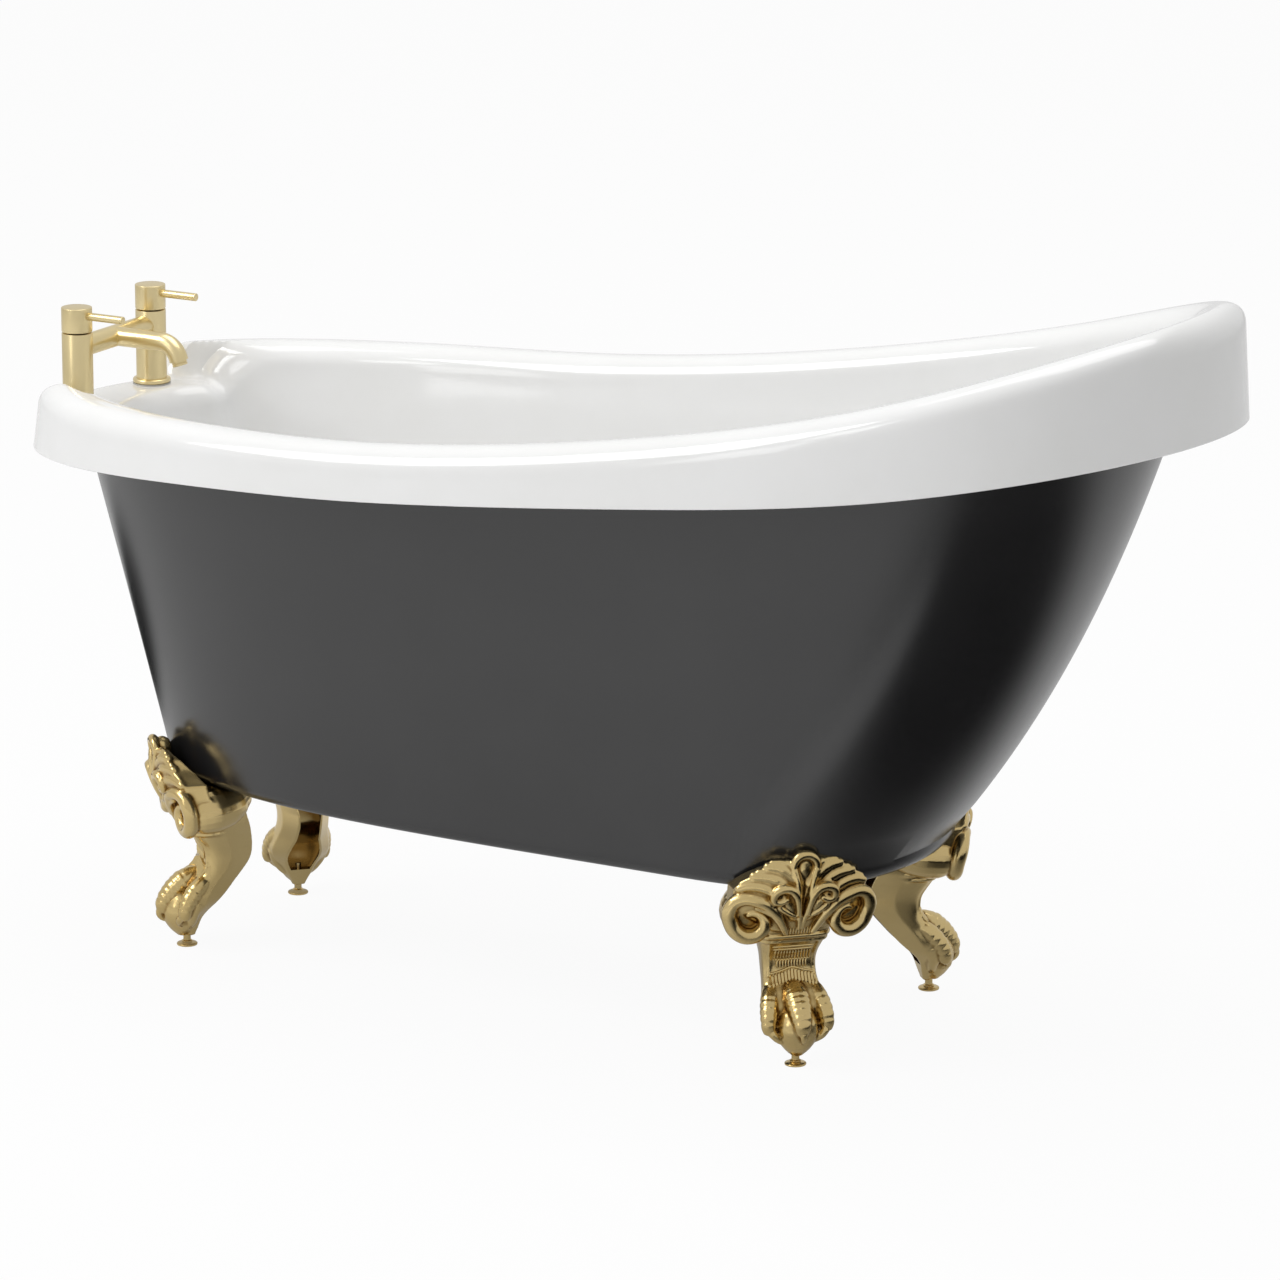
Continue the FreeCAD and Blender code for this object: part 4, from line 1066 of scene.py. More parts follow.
@dataclass
class ClawFoot:
    """Hollow cast claw foot about its own stem: u outward, v sideways, z up, in millimetres."""

    places: dict[Corner, tuple[float, float]] = field(default_factory=lambda: {
        Corner.TAP_NEAR: (-0.529, -0.1237), Corner.TAP_FAR: (-0.529, 0.1237),
        Corner.SLIPPER_NEAR: (0.3277, -0.1642), Corner.SLIPPER_FAR: (0.3277, 0.1642)})
    voxel: float = 1.28
    soft_factor: float = 0.5
    soft_passes: int = 2
    wall: float = 5.0
    seat_height: float = 208.0
    plate_low: float = 200.0
    plate_reach: tuple[float, float] = (-58.0, 4.0)
    plate_half_width: float = 42.0
    turned_steps: int = 48
    boss_radius: float = 9.0
    boss_length: float = 60.0
    boss_edge: float = 1.0
    boss_low: float = -14.0
    table_spread: float = 4.0
    squareness: float = 4.4
    leg_low: float = 13.0
    leg_high: float = 205.0
    leg_step: float = 2.0
    leg_points: int = 49
    hollow_low: float = 34.0
    hollow_high: float = 200.0
    hollow_past: float = 60.0
    leg_stations: tuple[tuple[float, float, float, float], ...] = (
        (13.0, 0.0, -8.0, 7.0), (22.0, 2.0, -11.5, 13.0), (37.0, 2.0, -15.0, 24.0), (46.0, 3.0, -21.0, 32.0),
        (56.0, 5.0, -32.0, 38.5), (64.0, 7.0, -41.0, 40.0), (73.0, 6.0, -49.0, 38.5), (86.0, -3.0, -60.5, 35.0),
        (96.0, -14.0, -69.0, 33.0), (106.0, -18.0, -76.0, 32.5), (118.0, -19.0, -79.0, 33.0),
        (128.0, -16.0, -78.5, 35.0), (140.0, -7.0, -76.5, 39.0), (150.0, -1.0, -74.0, 42.5),
        (162.0, 6.0, -70.0, 45.0), (174.0, 12.0, -66.5, 46.0), (190.0, 16.0, -63.0, 46.0), (204.0, 16.0, -60.0, 46.0))
    back_taper: tuple[tuple[float, float], ...] = (
        (13.0, 0.20), (46.0, 0.38), (84.0, 0.56), (122.0, 0.56), (140.0, 0.42), (156.0, 0.22), (204.0, 0.14))
    taper_parts: tuple[tuple[float, float, float], ...] = ((0.2, 0.15, 0.4), (0.8, 0.55, 0.45))
    ball_profile: tuple[tuple[float, float], ...] = (
        (13.0, 5.5), (16.0, 9.5), (20.0, 14.0), (27.0, 19.5), (35.0, 23.5), (44.0, 25.0), (54.0, 23.5), (64.0, 19.0),
        (71.0, 13.0), (76.0, 6.0))
    ball_spread: float = 1.5
    ball_rings: int = 40
    ball_steps: int = 64
    ball_least: float = 0.6
    ball_ahead: float = 5.0
    ball_back_share: float = 0.72
    ball_back_ease: float = 8.0
    ball_hollow_low: float = 20.0
    ball_hollow_past: float = 40.0
    leaf_line: tuple[tuple[float, float], ...] = (
        (156.0, 6.0), (160.0, 9.0), (172.0, 15.0), (184.0, 21.5), (196.0, 27.0), (219.0, 33.5), (240.0, 33.5),
        (256.0, 32.0))
    leaf_top: tuple[tuple[float, float], ...] = (
        (0.0, 252.0), (15.0, 251.0), (30.0, 248.0), (45.0, 243.5), (60.0, 235.0), (70.0, 227.0), (78.0, 217.0))
    leaf_low: tuple[tuple[float, float], ...] = ((0.0, 160.0), (30.0, 163.0), (50.0, 176.0), (78.0, 192.0))
    leaf_half_width: float = 78.0
    leaf_spread: float = 3.0
    leaf_columns: int = 69
    leaf_rows: int = 36
    leaf_bend: float = 330.0
    leaf_wall: float = 8.0
    edge_wall: float = 20.0
    fronds: tuple[tuple[tuple[float, float, float], ...], ...] = (
        ((4.5, 222.0, 2.5), (10.0, 238.0, 4.6), (20.0, 250.0, 4.8)),
        ((5.0, 207.0, 3.0), (12.0, 229.0, 5.6), (25.0, 242.5, 7.2), (42.0, 246.0, 5.6)),
        ((6.0, 193.0, 3.0), (15.0, 216.0, 6.0), (32.0, 231.0, 7.8), (57.0, 235.0, 5.8)),
        ((8.0, 180.0, 3.0), (19.0, 202.0, 6.0), (38.0, 218.0, 7.8), (58.0, 223.5, 7.2), (73.0, 219.5, 5.2)))
    frond_lift: float = 2.2
    frond_sink: float = 0.4
    fold_lift: float = 0.8
    fold_gap: float = 0.4
    fold_gap_share: float = 0.98
    fold_radius_share: float = 0.52
    fold_shorter: float = 3.5
    scroll_middle: tuple[float, float] = (57.5, 177.0)
    scroll_turns: tuple[tuple[float, float, float, float], ...] = (
        (62.0, 32.5, 17.0, 8.2), (32.0, 29.0, 11.5, 8.8), (0.0, 22.0, 8.0, 9.2), (-45.0, 18.5, 8.0, 9.2),
        (-90.0, 17.5, 9.5, 9.0), (-135.0, 17.0, 12.0, 8.4), (-180.0, 15.8, 14.0, 7.4), (-222.0, 13.6, 14.0, 6.0),
        (-258.0, 11.4, 13.0, 4.6), (-290.0, 9.4, 12.0, 3.0))
    collar_rings: tuple[tuple[float, float], ...] = ((147.0, 3.0), (154.0, 3.6))
    collar_front: tuple[float, ...] = (0.0, 12.0, 22.0, 29.0, 34.0)
    collar_sides: tuple[tuple[float, float], ...] = ((-20.0, 0.9), (-30.0, 0.75), (-40.0, 0.5), (-48.0, 0.2))
    collar_seat: float = 0.4
    ridge_line: tuple[tuple[float, float], ...] = (
        (28.5, 143.0), (27.0, 134.0), (26.0, 124.0), (25.5, 114.0), (26.5, 105.0), (27.5, 98.0))
    ridge_seat: float = 0.4
    ridge_radius: float = 2.3
    ornament_step: float = 0.8
    ornament_sides: int = 20
    rib_rows: tuple[tuple[float, float, float, float, float, float], ...] = (
        (121.5, 132.0, 22.0, 0.0, 3.4, 1.55), (111.5, 119.5, 19.0, 0.0, 3.4, 1.55),
        (98.0, 108.5, 27.5, 0.27, 3.9, 1.95), (158.5, 166.0, 17.5, 0.0, 3.3, 1.4))
    rib_points: int = 4
    rib_lift_share: float = 0.25
    rib_step: float = 2.2
    rib_sides: int = 8
    fringe_peak: float = 110.8
    fringe_slope: float = 0.27
    fringe_places: tuple[float, ...] = (-28.0, -20.0, -10.0, 0.0, 10.0, 20.0, 28.0)
    fringe_lift: float = 0.6
    fringe_radius: float = 1.5
    line_rows: tuple[tuple[float, float], ...] = ((134.6, 23.0), (138.8, 24.0), (120.5, 21.0))
    line_points: int = 9
    line_radius: float = 1.2
    # Painted shade in the hollows: smoothing passes, the depth where it begins and the depth over which it grows to
    # full.
    shade_smoothing_passes: int = 20
    shade_start_depth: float = 0.12
    shade_full_depth_range: float = 0.9

    def __post_init__(self) -> None:
        """Prepare the tree that sweeps the ornament, and the smooth tables."""
        self.rolls = RollTree(CAST_BRASS)
        self.leg_table = eased(self.leg_stations, self.table_spread)
        self.leaf_table = eased(self.leaf_line, self.table_spread)

    # Smooth body

    def _at(self, z: float) -> tuple[float, float, float]:
        """Front, back and half width of the leg at a height."""
        table = self.leg_table
        return tuple(float(np.interp(z, table[:, 0], table[:, k])) for k in (1, 2, 3))

    def _front(self, v: float, z: float) -> float:
        """How far out the leg's front stands.

        Args:
            v: sideways place.
            z: height.

        Returns:
            The distance outward.
        """
        ahead, behind, wide = self._at(z)
        share = min(abs(v) / wide, 1.0)
        return behind + (ahead - behind) * (1 + (1 - share ** self.squareness) ** (1 / self.squareness)) / 2

    def _half(self, depth: np.ndarray, z: float) -> np.ndarray:
        """Share of the leg's half width at shares of the way from its front to its back.

        Args:
            depth: 0 at the front, 1 at the back.
            z: height.

        Returns:
            Shares of the half width.
        """
        p = np.clip(depth, 0.0, 1.0)
        nose = (1 - np.abs(1 - 2 * np.minimum(p, 0.5)) ** self.squareness) ** (1 / self.squareness)
        taper = np.interp(z, *np.array(self.back_taper).T)
        drawn_in = sum(share * np.clip((p - start) / run, 0.0, 1.0) for share, start, run in self.taper_parts)
        return nose * (1 - taper * drawn_in)

    def _leg(self, inset: float, back_past: float, low: float, high: float) -> MeshParts:
        """Leg or its hollow as level rings.

        Args:
            inset: distance inside the outer face.
            back_past: how far the back is pushed out.
            low: lowest ring.
            high: highest ring.

        Returns:
            The closed form.
        """
        spread = (1 - np.cos(np.linspace(0.0, math.pi, self.leg_points))) / 2
        rings = []
        for z in np.arange(low, high + self.leg_step / 2, self.leg_step):
            ahead, behind, wide = self._at(z)
            ahead -= inset
            us = ahead - spread * (ahead - behind + back_past)
            vs = (wide - inset) * self._half((ahead - us) / (ahead - behind), z)
            half = np.stack([us, vs, np.full_like(us, z)], axis=1)
            rings.append(np.concatenate([half, half[:0:-1] * np.array([1.0, -1.0, 1.0])]))
        parts = MeshParts()
        parts.capped_rings(rings)
        return parts

    def _ball(self, inset: float, back_past: float, low: float) -> MeshParts:
        """Pointed ball under the toes, or the hollow in it.

        Args:
            inset: distance inside the outer face.
            back_past: how far the back half is pushed out.
            low: lowest height.

        Returns:
            The closed form.
        """
        table = eased(self.ball_profile, self.ball_spread)
        heights = np.linspace(low, self.ball_profile[-1][0] - inset, self.ball_rings)
        radii = np.maximum(np.interp(heights, table[:, 0], table[:, 1]) - inset, self.ball_least)
        profile = [(0.0, float(heights[0]))]
        profile += [(float(r), float(z)) for r, z in zip(radii, heights)]
        profile.append((0.0, float(heights[-1])))
        parts = lathe(profile, (0.0, 0.0, 0.0), self.ball_steps)
        parts.points = [(self.ball_ahead + (u if u > 0 else u * self.ball_back_share
                                            - back_past * min(-u / self.ball_back_ease, 1.0)), v, z)
                        for u, v, z in parts.points]
        return parts

    def _leaf_face(self, v: float, z: float) -> float:
        """How far out the leaf's plain face stands."""
        table = self.leaf_table
        return float(np.interp(z, table[:, 0], table[:, 1])) - v * v / self.leaf_bend

    def _shield(self) -> MeshParts:
        """Plain curved plate behind the leaf's fronds.

        Returns:
            The closed form.
        """
        tops = eased(self.leaf_top, self.leaf_spread)
        lows = eased(self.leaf_low, self.leaf_spread)
        across = np.linspace(-self.leaf_half_width, self.leaf_half_width, self.leaf_columns)
        up = np.linspace(0.0, 1.0, self.leaf_rows)
        rings = []
        for v in across:
            low = np.interp(abs(v), lows[:, 0], lows[:, 1])
            top = np.interp(abs(v), tops[:, 0], tops[:, 1])
            zs = low + (top - low) * up
            us = np.array([self._leaf_face(v, z) for z in zs])
            front = np.stack([us, np.full_like(us, v), zs], axis=1)
            wall = self.leaf_wall + self.edge_wall * (v / self.leaf_half_width) ** 2
            back = np.stack([us - wall, np.full_like(us, v), zs], axis=1)
            rings.append(np.concatenate([front, back[::-1]]))
        parts = MeshParts()
        parts.capped_rings(rings)
        return parts

    def _plate(self) -> MeshParts:
        """Seat plate under the tub.

        Returns:
            The closed form.
        """
        parts = MeshParts()
        back, ahead = self.plate_reach
        half = self.plate_half_width
        corners = [(u, v, z) for z in (self.plate_low, self.seat_height)
                   for u, v in ((back, -half), (ahead, -half), (ahead, half), (back, half))]
        parts.add(corners, [(0, 3, 2, 1), (4, 5, 6, 7), (0, 1, 5, 4), (1, 2, 6, 5), (2, 3, 7, 6), (3, 0, 4, 7)])
        return parts

    # Ornament

    def _on_leaf(self, path: Sequence[tuple[float, float, float]], lift: float, sink: float = 0.0) -> Roll:
        """Roll that lies on the leaf.

        Args:
            path: sideways place, height and radius of each point.
            lift: height of its middle over the leaf's face.
            sink: share of its radius that it lies deeper.

        Returns:
            The roll.
        """
        return [(self._leaf_face(v, z) + lift - sink * r, v, z, r) for v, z, r in path]

    def _leaf(self) -> list[Roll]:
        """Fronds of the leaf, each with a thinner fold on both sides, between it and the next.

        Returns:
            The rolls.
        """
        rolls = []
        for frond in self.fronds:
            rolls.append(rounded_ends(self._on_leaf(frond, self.frond_lift, self.frond_sink)))
            for side in (-1.0, 1.0):
                fold = []
                for k, (v, z, r) in enumerate(frond):
                    a = frond[max(k - 1, 0)]
                    b = frond[min(k + 1, len(frond) - 1)]
                    way = Vector((b[0] - a[0], b[1] - a[1])).normalized()
                    gap = side * (self.fold_gap + self.fold_gap_share * r)
                    back = self.fold_shorter if k == len(frond) - 1 else 0.0
                    fold.append((v - way.y * gap - way.x * back, z + way.x * gap - way.y * back,
                                 self.fold_radius_share * r))
                rolls.append(rounded_ends(self._on_leaf(fold, self.fold_lift)))
        return mirrored(rolls)

    def _midrib(self) -> list[Roll]:
        """Two ridges that close in on the channel up the leaf's middle, and the hooded tip.

        Returns:
            The rolls.
        """
        ridge = self._on_leaf(((1.8, 166.0, 2.2), (3.4, 184.0, 2.6), (5.5, 204.0, 3.0), (8.5, 224.0, 3.4),
                               (13.0, 242.0, 3.8)), lift=4.2)
        hood = [(33.5, -11.0, 233.0, 2.6), (35.5, -13.2, 241.0, 3.6), (36.5, -13.0, 249.5, 4.6),
                (37.0, -8.5, 256.5, 5.4), (37.0, 0.0, 259.5, 5.8)]
        hood += [(u, -v, z, r) for u, v, z, r in reversed(hood[:-1])]
        dome = [(23.5, 0.0, 222.0, 7.0), (25.5, 0.0, 232.0, 10.0), (26.5, 0.0, 242.0, 12.0), (26.5, 0.0, 251.0, 12.0)]
        return [rounded_ends(hood), rounded_ends(dome)] + mirrored([rounded_ends(ridge)])

    def _commas(self) -> list[Roll]:
        """Curled leaves beside the midrib.

        Returns:
            The rolls.
        """
        curl = self._on_leaf(((5.5, 186.0, 2.2), (7.0, 200.0, 3.6), (10.5, 212.0, 4.8), (18.0, 220.0, 5.6),
                              (28.0, 220.5, 5.8), (35.5, 213.5, 5.2), (34.5, 205.5, 4.4), (27.0, 204.0, 3.8),
                              (21.0, 207.0, 3.2)), lift=6.0)
        lip = self._on_leaf(((9.0, 184.0, 1.8), (16.0, 188.0, 3.0), (24.0, 194.0, 3.4), (29.0, 199.0, 2.8)), lift=5.0)
        return mirrored([rounded_ends(curl), rounded_ends(lip)])

    def _volutes(self) -> list[Roll]:
        """Big side scrolls that grow from the neck, each with the swelling barrel behind it.

        Returns:
            The rolls.
        """
        mid_v, mid_z = self.scroll_middle
        scroll = self._on_leaf(((16.0, 161.0, 3.4), (23.0, 176.0, 4.6), (34.0, 192.0, 6.2), (50.0, 204.5, 7.6)),
                               lift=3.5)
        for turn, reach, u, radius in self.scroll_turns:
            a = math.radians(turn)
            scroll.append((u, mid_v + reach * math.cos(a), mid_z + reach * math.sin(a), radius))
        edge = self._on_leaf(((20.0, 164.0, 1.6), (29.0, 179.0, 2.2), (40.0, 190.0, 2.8), (54.0, 197.0, 3.2)),
                             lift=5.5)
        barrel = [(7.0, 57.5, 177.5, 14.0), (4.5, 57.5, 178.0, 20.0), (0.0, 57.5, 179.0, 24.0),
                  (-8.0, 58.0, 180.5, 26.5), (-22.0, 56.5, 182.0, 27.5), (-38.0, 49.5, 184.0, 26.0),
                  (-50.0, 42.0, 186.0, 22.0), (-58.0, 36.0, 188.0, 17.0)]
        return mirrored([rounded_ends(scroll), rounded_ends(edge), rounded_ends(barrel, first=False)])

    def _collar(self) -> list[Roll]:
        """Double ring round the top of the shank.

        Returns:
            The rolls.
        """
        rings = []
        for z, r in self.collar_rings:
            ahead, behind, wide = self._at(z)
            half = [(self._front(v, z) + self.collar_seat, v, z, r) for v in self.collar_front]
            for u, share in self.collar_sides:
                beside = wide * float(self._half(np.array([(ahead - u) / (ahead - behind)]), z)[0])
                half.append((u, beside - self.collar_seat, z, r * share))
            rings.append([(u, -v, z, r) for u, v, z, r in reversed(half[1:])] + half)
        return rings

    @staticmethod
    def _wrinkled(roll: Roll, start: float, end: float, folds: int, depth: float) -> Roll:
        """Give a stretch of a roll skin folds.

        Args:
            roll: points and radii.
            start: share of the length where the folds begin.
            end: share where they end.
            folds: how many folds.
            depth: fold depth.

        Returns:
            A denser roll.
        """
        points = np.array(roll)
        run = np.concatenate([[0.0], np.cumsum(np.linalg.norm(np.diff(points[:, :3], axis=0), axis=1))])
        run /= run[-1]
        share = np.linspace(0.0, 1.0, FOLD_POINTS * folds + PLAIN_POINTS)
        smooth = np.stack([np.interp(share, run, points[:, k]) for k in range(4)], axis=1)
        kernel = np.array([1.0, 2.0, 3.0, 2.0, 1.0]) / 9.0
        for _ in range(SOFTEN_PASSES):
            padded = np.pad(smooth, ((2, 2), (0, 0)), mode="edge")
            middle = np.stack([np.convolve(padded[:, k], kernel, "valid") for k in range(4)], axis=1)
            smooth[1:-1] = middle[1:-1]
        wave = np.clip((share - start) / (end - start), 0.0, 1.0)
        smooth[:, 3] -= depth * np.sin(math.pi * folds * wave) ** FOLD_SHARPNESS * ((wave > 0) & (wave < 1))
        return [tuple(p) for p in smooth]

    def _toes(self) -> list[Roll]:
        """Three toes with folded skin over the ball, and their claws.

        Returns:
            The rolls.
        """
        middle = [(-20.0, 0.0, 92.0, 7.0), (-9.0, 0.0, 87.0, 12.0), (3.0, 0.0, 80.0, 15.2), (14.0, 0.0, 70.5, 14.6),
                  (23.0, 0.0, 61.0, 12.8), (28.0, 0.0, 53.5, 10.6), (28.5, 0.0, 50.0, 9.6)]
        side = [(-26.0, 22.0, 90.0, 7.0), (-14.0, 26.5, 83.0, 10.0), (-4.0, 30.0, 74.0, 11.2), (4.0, 33.0, 63.5, 10.4),
                (8.5, 34.5, 54.0, 9.2), (9.0, 34.5, 47.0, 8.0)]
        middle_claw = [(33.0, 0.0, 45.0, 4.6), (33.5, 0.0, 40.5, 3.8), (31.5, 0.0, 36.0, 2.6), (28.5, 0.0, 32.5, 1.2)]
        side_claw = [(13.5, 31.0, 42.5, 5.0), (14.5, 27.0, 37.5, 4.2), (12.5, 22.5, 33.0, 3.2), (10.5, 18.5, 29.0, 1.6)]
        web = [(-6.0, 27.0, 60.0, 12.0), (-2.0, 26.0, 48.0, 9.0), (-2.0, 21.0, 38.0, 7.0), (-1.0, 14.0, 30.0, 6.0)]
        side_toe = self._wrinkled(side, start=0.40, end=0.94, folds=4, depth=0.9)
        middle_toe = self._wrinkled(middle, start=0.30, end=0.95, folds=6, depth=0.9)
        beside = mirrored([rounded_ends(roll) for roll in (side_toe, side_claw, web)])
        return beside + [rounded_ends(middle_toe), rounded_ends(middle_claw)]

    def _frame_ridges(self) -> list[Roll]:
        """Raised edges beside the shank's panel."""
        edge = [(self._front(v, z) - self.ridge_seat, v, z, self.ridge_radius) for v, z in self.ridge_line]
        return mirrored([rounded_ends(edge)])

    def _face(self, v: float, z: float) -> float:
        """How far out the leg's front stands, or the leaf's where that is further out."""
        front = self._front(v, z)
        return max(front, self._leaf_face(v, z)) if z > self.leaf_line[0][0] else front

    def _ribs(self) -> bpy.types.Mesh:
        """Reeded rows, chevron fringe and lines on the shank's front.

        Returns:
            One mesh of all the ribs.
        """
        ribs = []
        for low, high, half, slope, pitch, radius in self.rib_rows:
            count = int(half // pitch)
            for k in range(-count, count + 1):
                v = k * pitch
                heights = np.linspace(low, high, self.rib_points) - slope * abs(v)
                lift = self.rib_lift_share * radius
                ribs.append(rounded_ends([(self._face(v, z) + lift, v, z, radius) for z in heights]))
        fringe = [(v, self.fringe_peak - self.fringe_slope * abs(v)) for v in self.fringe_places]
        ribs.append(rounded_ends([(self._front(v, z) + self.fringe_lift, v, z, self.fringe_radius) for v, z in fringe]))
        for z, half in self.line_rows:
            places = np.linspace(-half, half, self.line_points)
            ribs.append(rounded_ends([(self._front(v, z), v, z, self.line_radius) for v in places]))
        return self.rolls.make(ribs, self.rib_step, self.rib_sides)

    # Casting

    def _measure_hollows_for_shade(self, mesh: bpy.types.Mesh) -> None:
        """Store how deep each point lies below its smoothed surroundings, for the shade painted into the hollows.

        Args:
            mesh: the foot's mesh.
        """
        count = len(mesh.vertices)
        spots = np.empty(count * 3)
        mesh.vertices.foreach_get("co", spots)
        spots = spots.reshape(-1, 3)
        facing = np.empty(count * 3)
        mesh.vertices.foreach_get("normal", facing)
        ends = np.empty(len(mesh.edges) * 2, dtype=np.int32)
        mesh.edges.foreach_get("vertices", ends)
        ends = ends.reshape(-1, 2)
        here = np.concatenate([ends[:, 0], ends[:, 1]])
        there = np.concatenate([ends[:, 1], ends[:, 0]])
        share = np.maximum(np.bincount(here, minlength=count), 1)
        soft = spots.copy()
        for _ in range(self.shade_smoothing_passes):
            soft = np.stack([np.bincount(here, soft[there, k], count) for k in range(3)], axis=1) / share[:, None]
        depth = ((soft - spots) * facing.reshape(-1, 3)).sum(axis=1)
        mark = mesh.attributes.new(SHADED_HOLLOW_ATTRIBUTE, "FLOAT", "POINT")
        share_in = np.clip((depth - self.shade_start_depth) / self.shade_full_depth_range, 0.0, 1.0)
        mark.data.foreach_set("value", share_in.astype(np.float32))

    def sculpt(self) -> bpy.types.Mesh:
        """Join body and ornament into one cast form and hollow it.

        Returns:
            The foot's mesh in metres, about its stem.
        """
        parts = MeshParts()
        leg = self._leg(0.0, 0.0, self.leg_low, self.leg_high)
        ball = self._ball(0.0, 0.0, self.leg_low)
        for form in (leg, ball, self._shield(), self._plate()):
            parts.add(form.points, form.faces)
        ornament = self.rolls.make(
            self._leaf() + self._midrib() + self._commas() + self._volutes() + self._collar() + self._toes()
            + self._frame_ridges(), self.ornament_step, self.ornament_sides)
        parts.add_mesh(ornament)
        raw = linked("foot_raw", parts.mesh("foot_raw"))
        cast = raw.modifiers.new("cast", "REMESH")
        cast.mode = "VOXEL"
        cast.voxel_size = self.voxel
        soft = raw.modifiers.new("soft", "SMOOTH")
        soft.factor = self.soft_factor
        soft.iterations = self.soft_passes
        mesh = evaluated_mesh(raw)
        drop(raw)
        bar = rounded_bar(self.boss_radius, self.boss_length, self.boss_edge)
        boss = lathe(bar, (0.0, 0.0, self.boss_low), self.turned_steps).mesh("stem_boss")
        leg_space = self._leg(self.wall, self.hollow_past, self.hollow_low, self.hollow_high)
        ball_space = self._ball(self.wall, self.ball_hollow_past, self.ball_hollow_low)
        for space in (leg_space, ball_space):
            mesh = carve(mesh, carve(space.mesh("foot_hollow"), boss.copy()))
        done = MeshParts()
        for form in (mesh, self._ribs()):
            done.add_mesh(form)
        mesh = done.mesh("claw_foot")
        # Mark how much painted shade each point in the hollows gets.
        self._measure_hollows_for_shade(mesh)
        mesh.transform(Matrix.Scale(MM, 4))
        return mesh

    def build(self) -> None:
        """Make the four feet with their stems and pads."""
        pattern = self.sculpt()
        for corner, (x, y) in self.places.items():
            node = "foot_" + corner.word
            mesh = pattern.copy()
            mesh.transform(Matrix.Translation((x, y, 0.0)) @ Matrix.Rotation(math.radians(corner.value), 4, "Z"))
            finish_piece("claw_" + node, mesh, CAST_BRASS, "tub", node)
            self._leveller(corner, x, y)

    def _leveller(self, corner: Corner, x: float, y: float) -> None:
        """Turned stem and pad of one foot.

        Args:
            corner: which foot.
            x: place along the tub.
            y: place across the tub.
        """
        body = "leveller_" + corner.word
        stem = [(0.0, 0.002), (0.0045, 0.002), (0.0045, 0.004), (0.0060, 0.004), (0.0065, 0.0046), (0.0065, 0.0055),
                (0.0058, 0.006), (0.0045, 0.0064), (0.0045, 0.0395), (0.004, 0.040), (0.0, 0.040)]
        pad = [(0.0, 0.0), (0.0115, 0.0), (0.0122, 0.0003), (0.0125, 0.0010), (0.0125, 0.0020), (0.0119, 0.0027),
               (0.0100, 0.0033), (0.0072, 0.0038), (0.0050, 0.0040), (0.0046, 0.0040), (0.0046, 0.0020), (0.0, 0.0020)]
        for word, profile in (("stem_", stem), ("pad_", pad)):
            node = word + corner.word
            mesh = lathe(profile, (x, y, 0.0), self.turned_steps).mesh(node)
            finish_piece("turned_" + node, mesh, PLAIN_BRASS, body, node)


# Bath filler


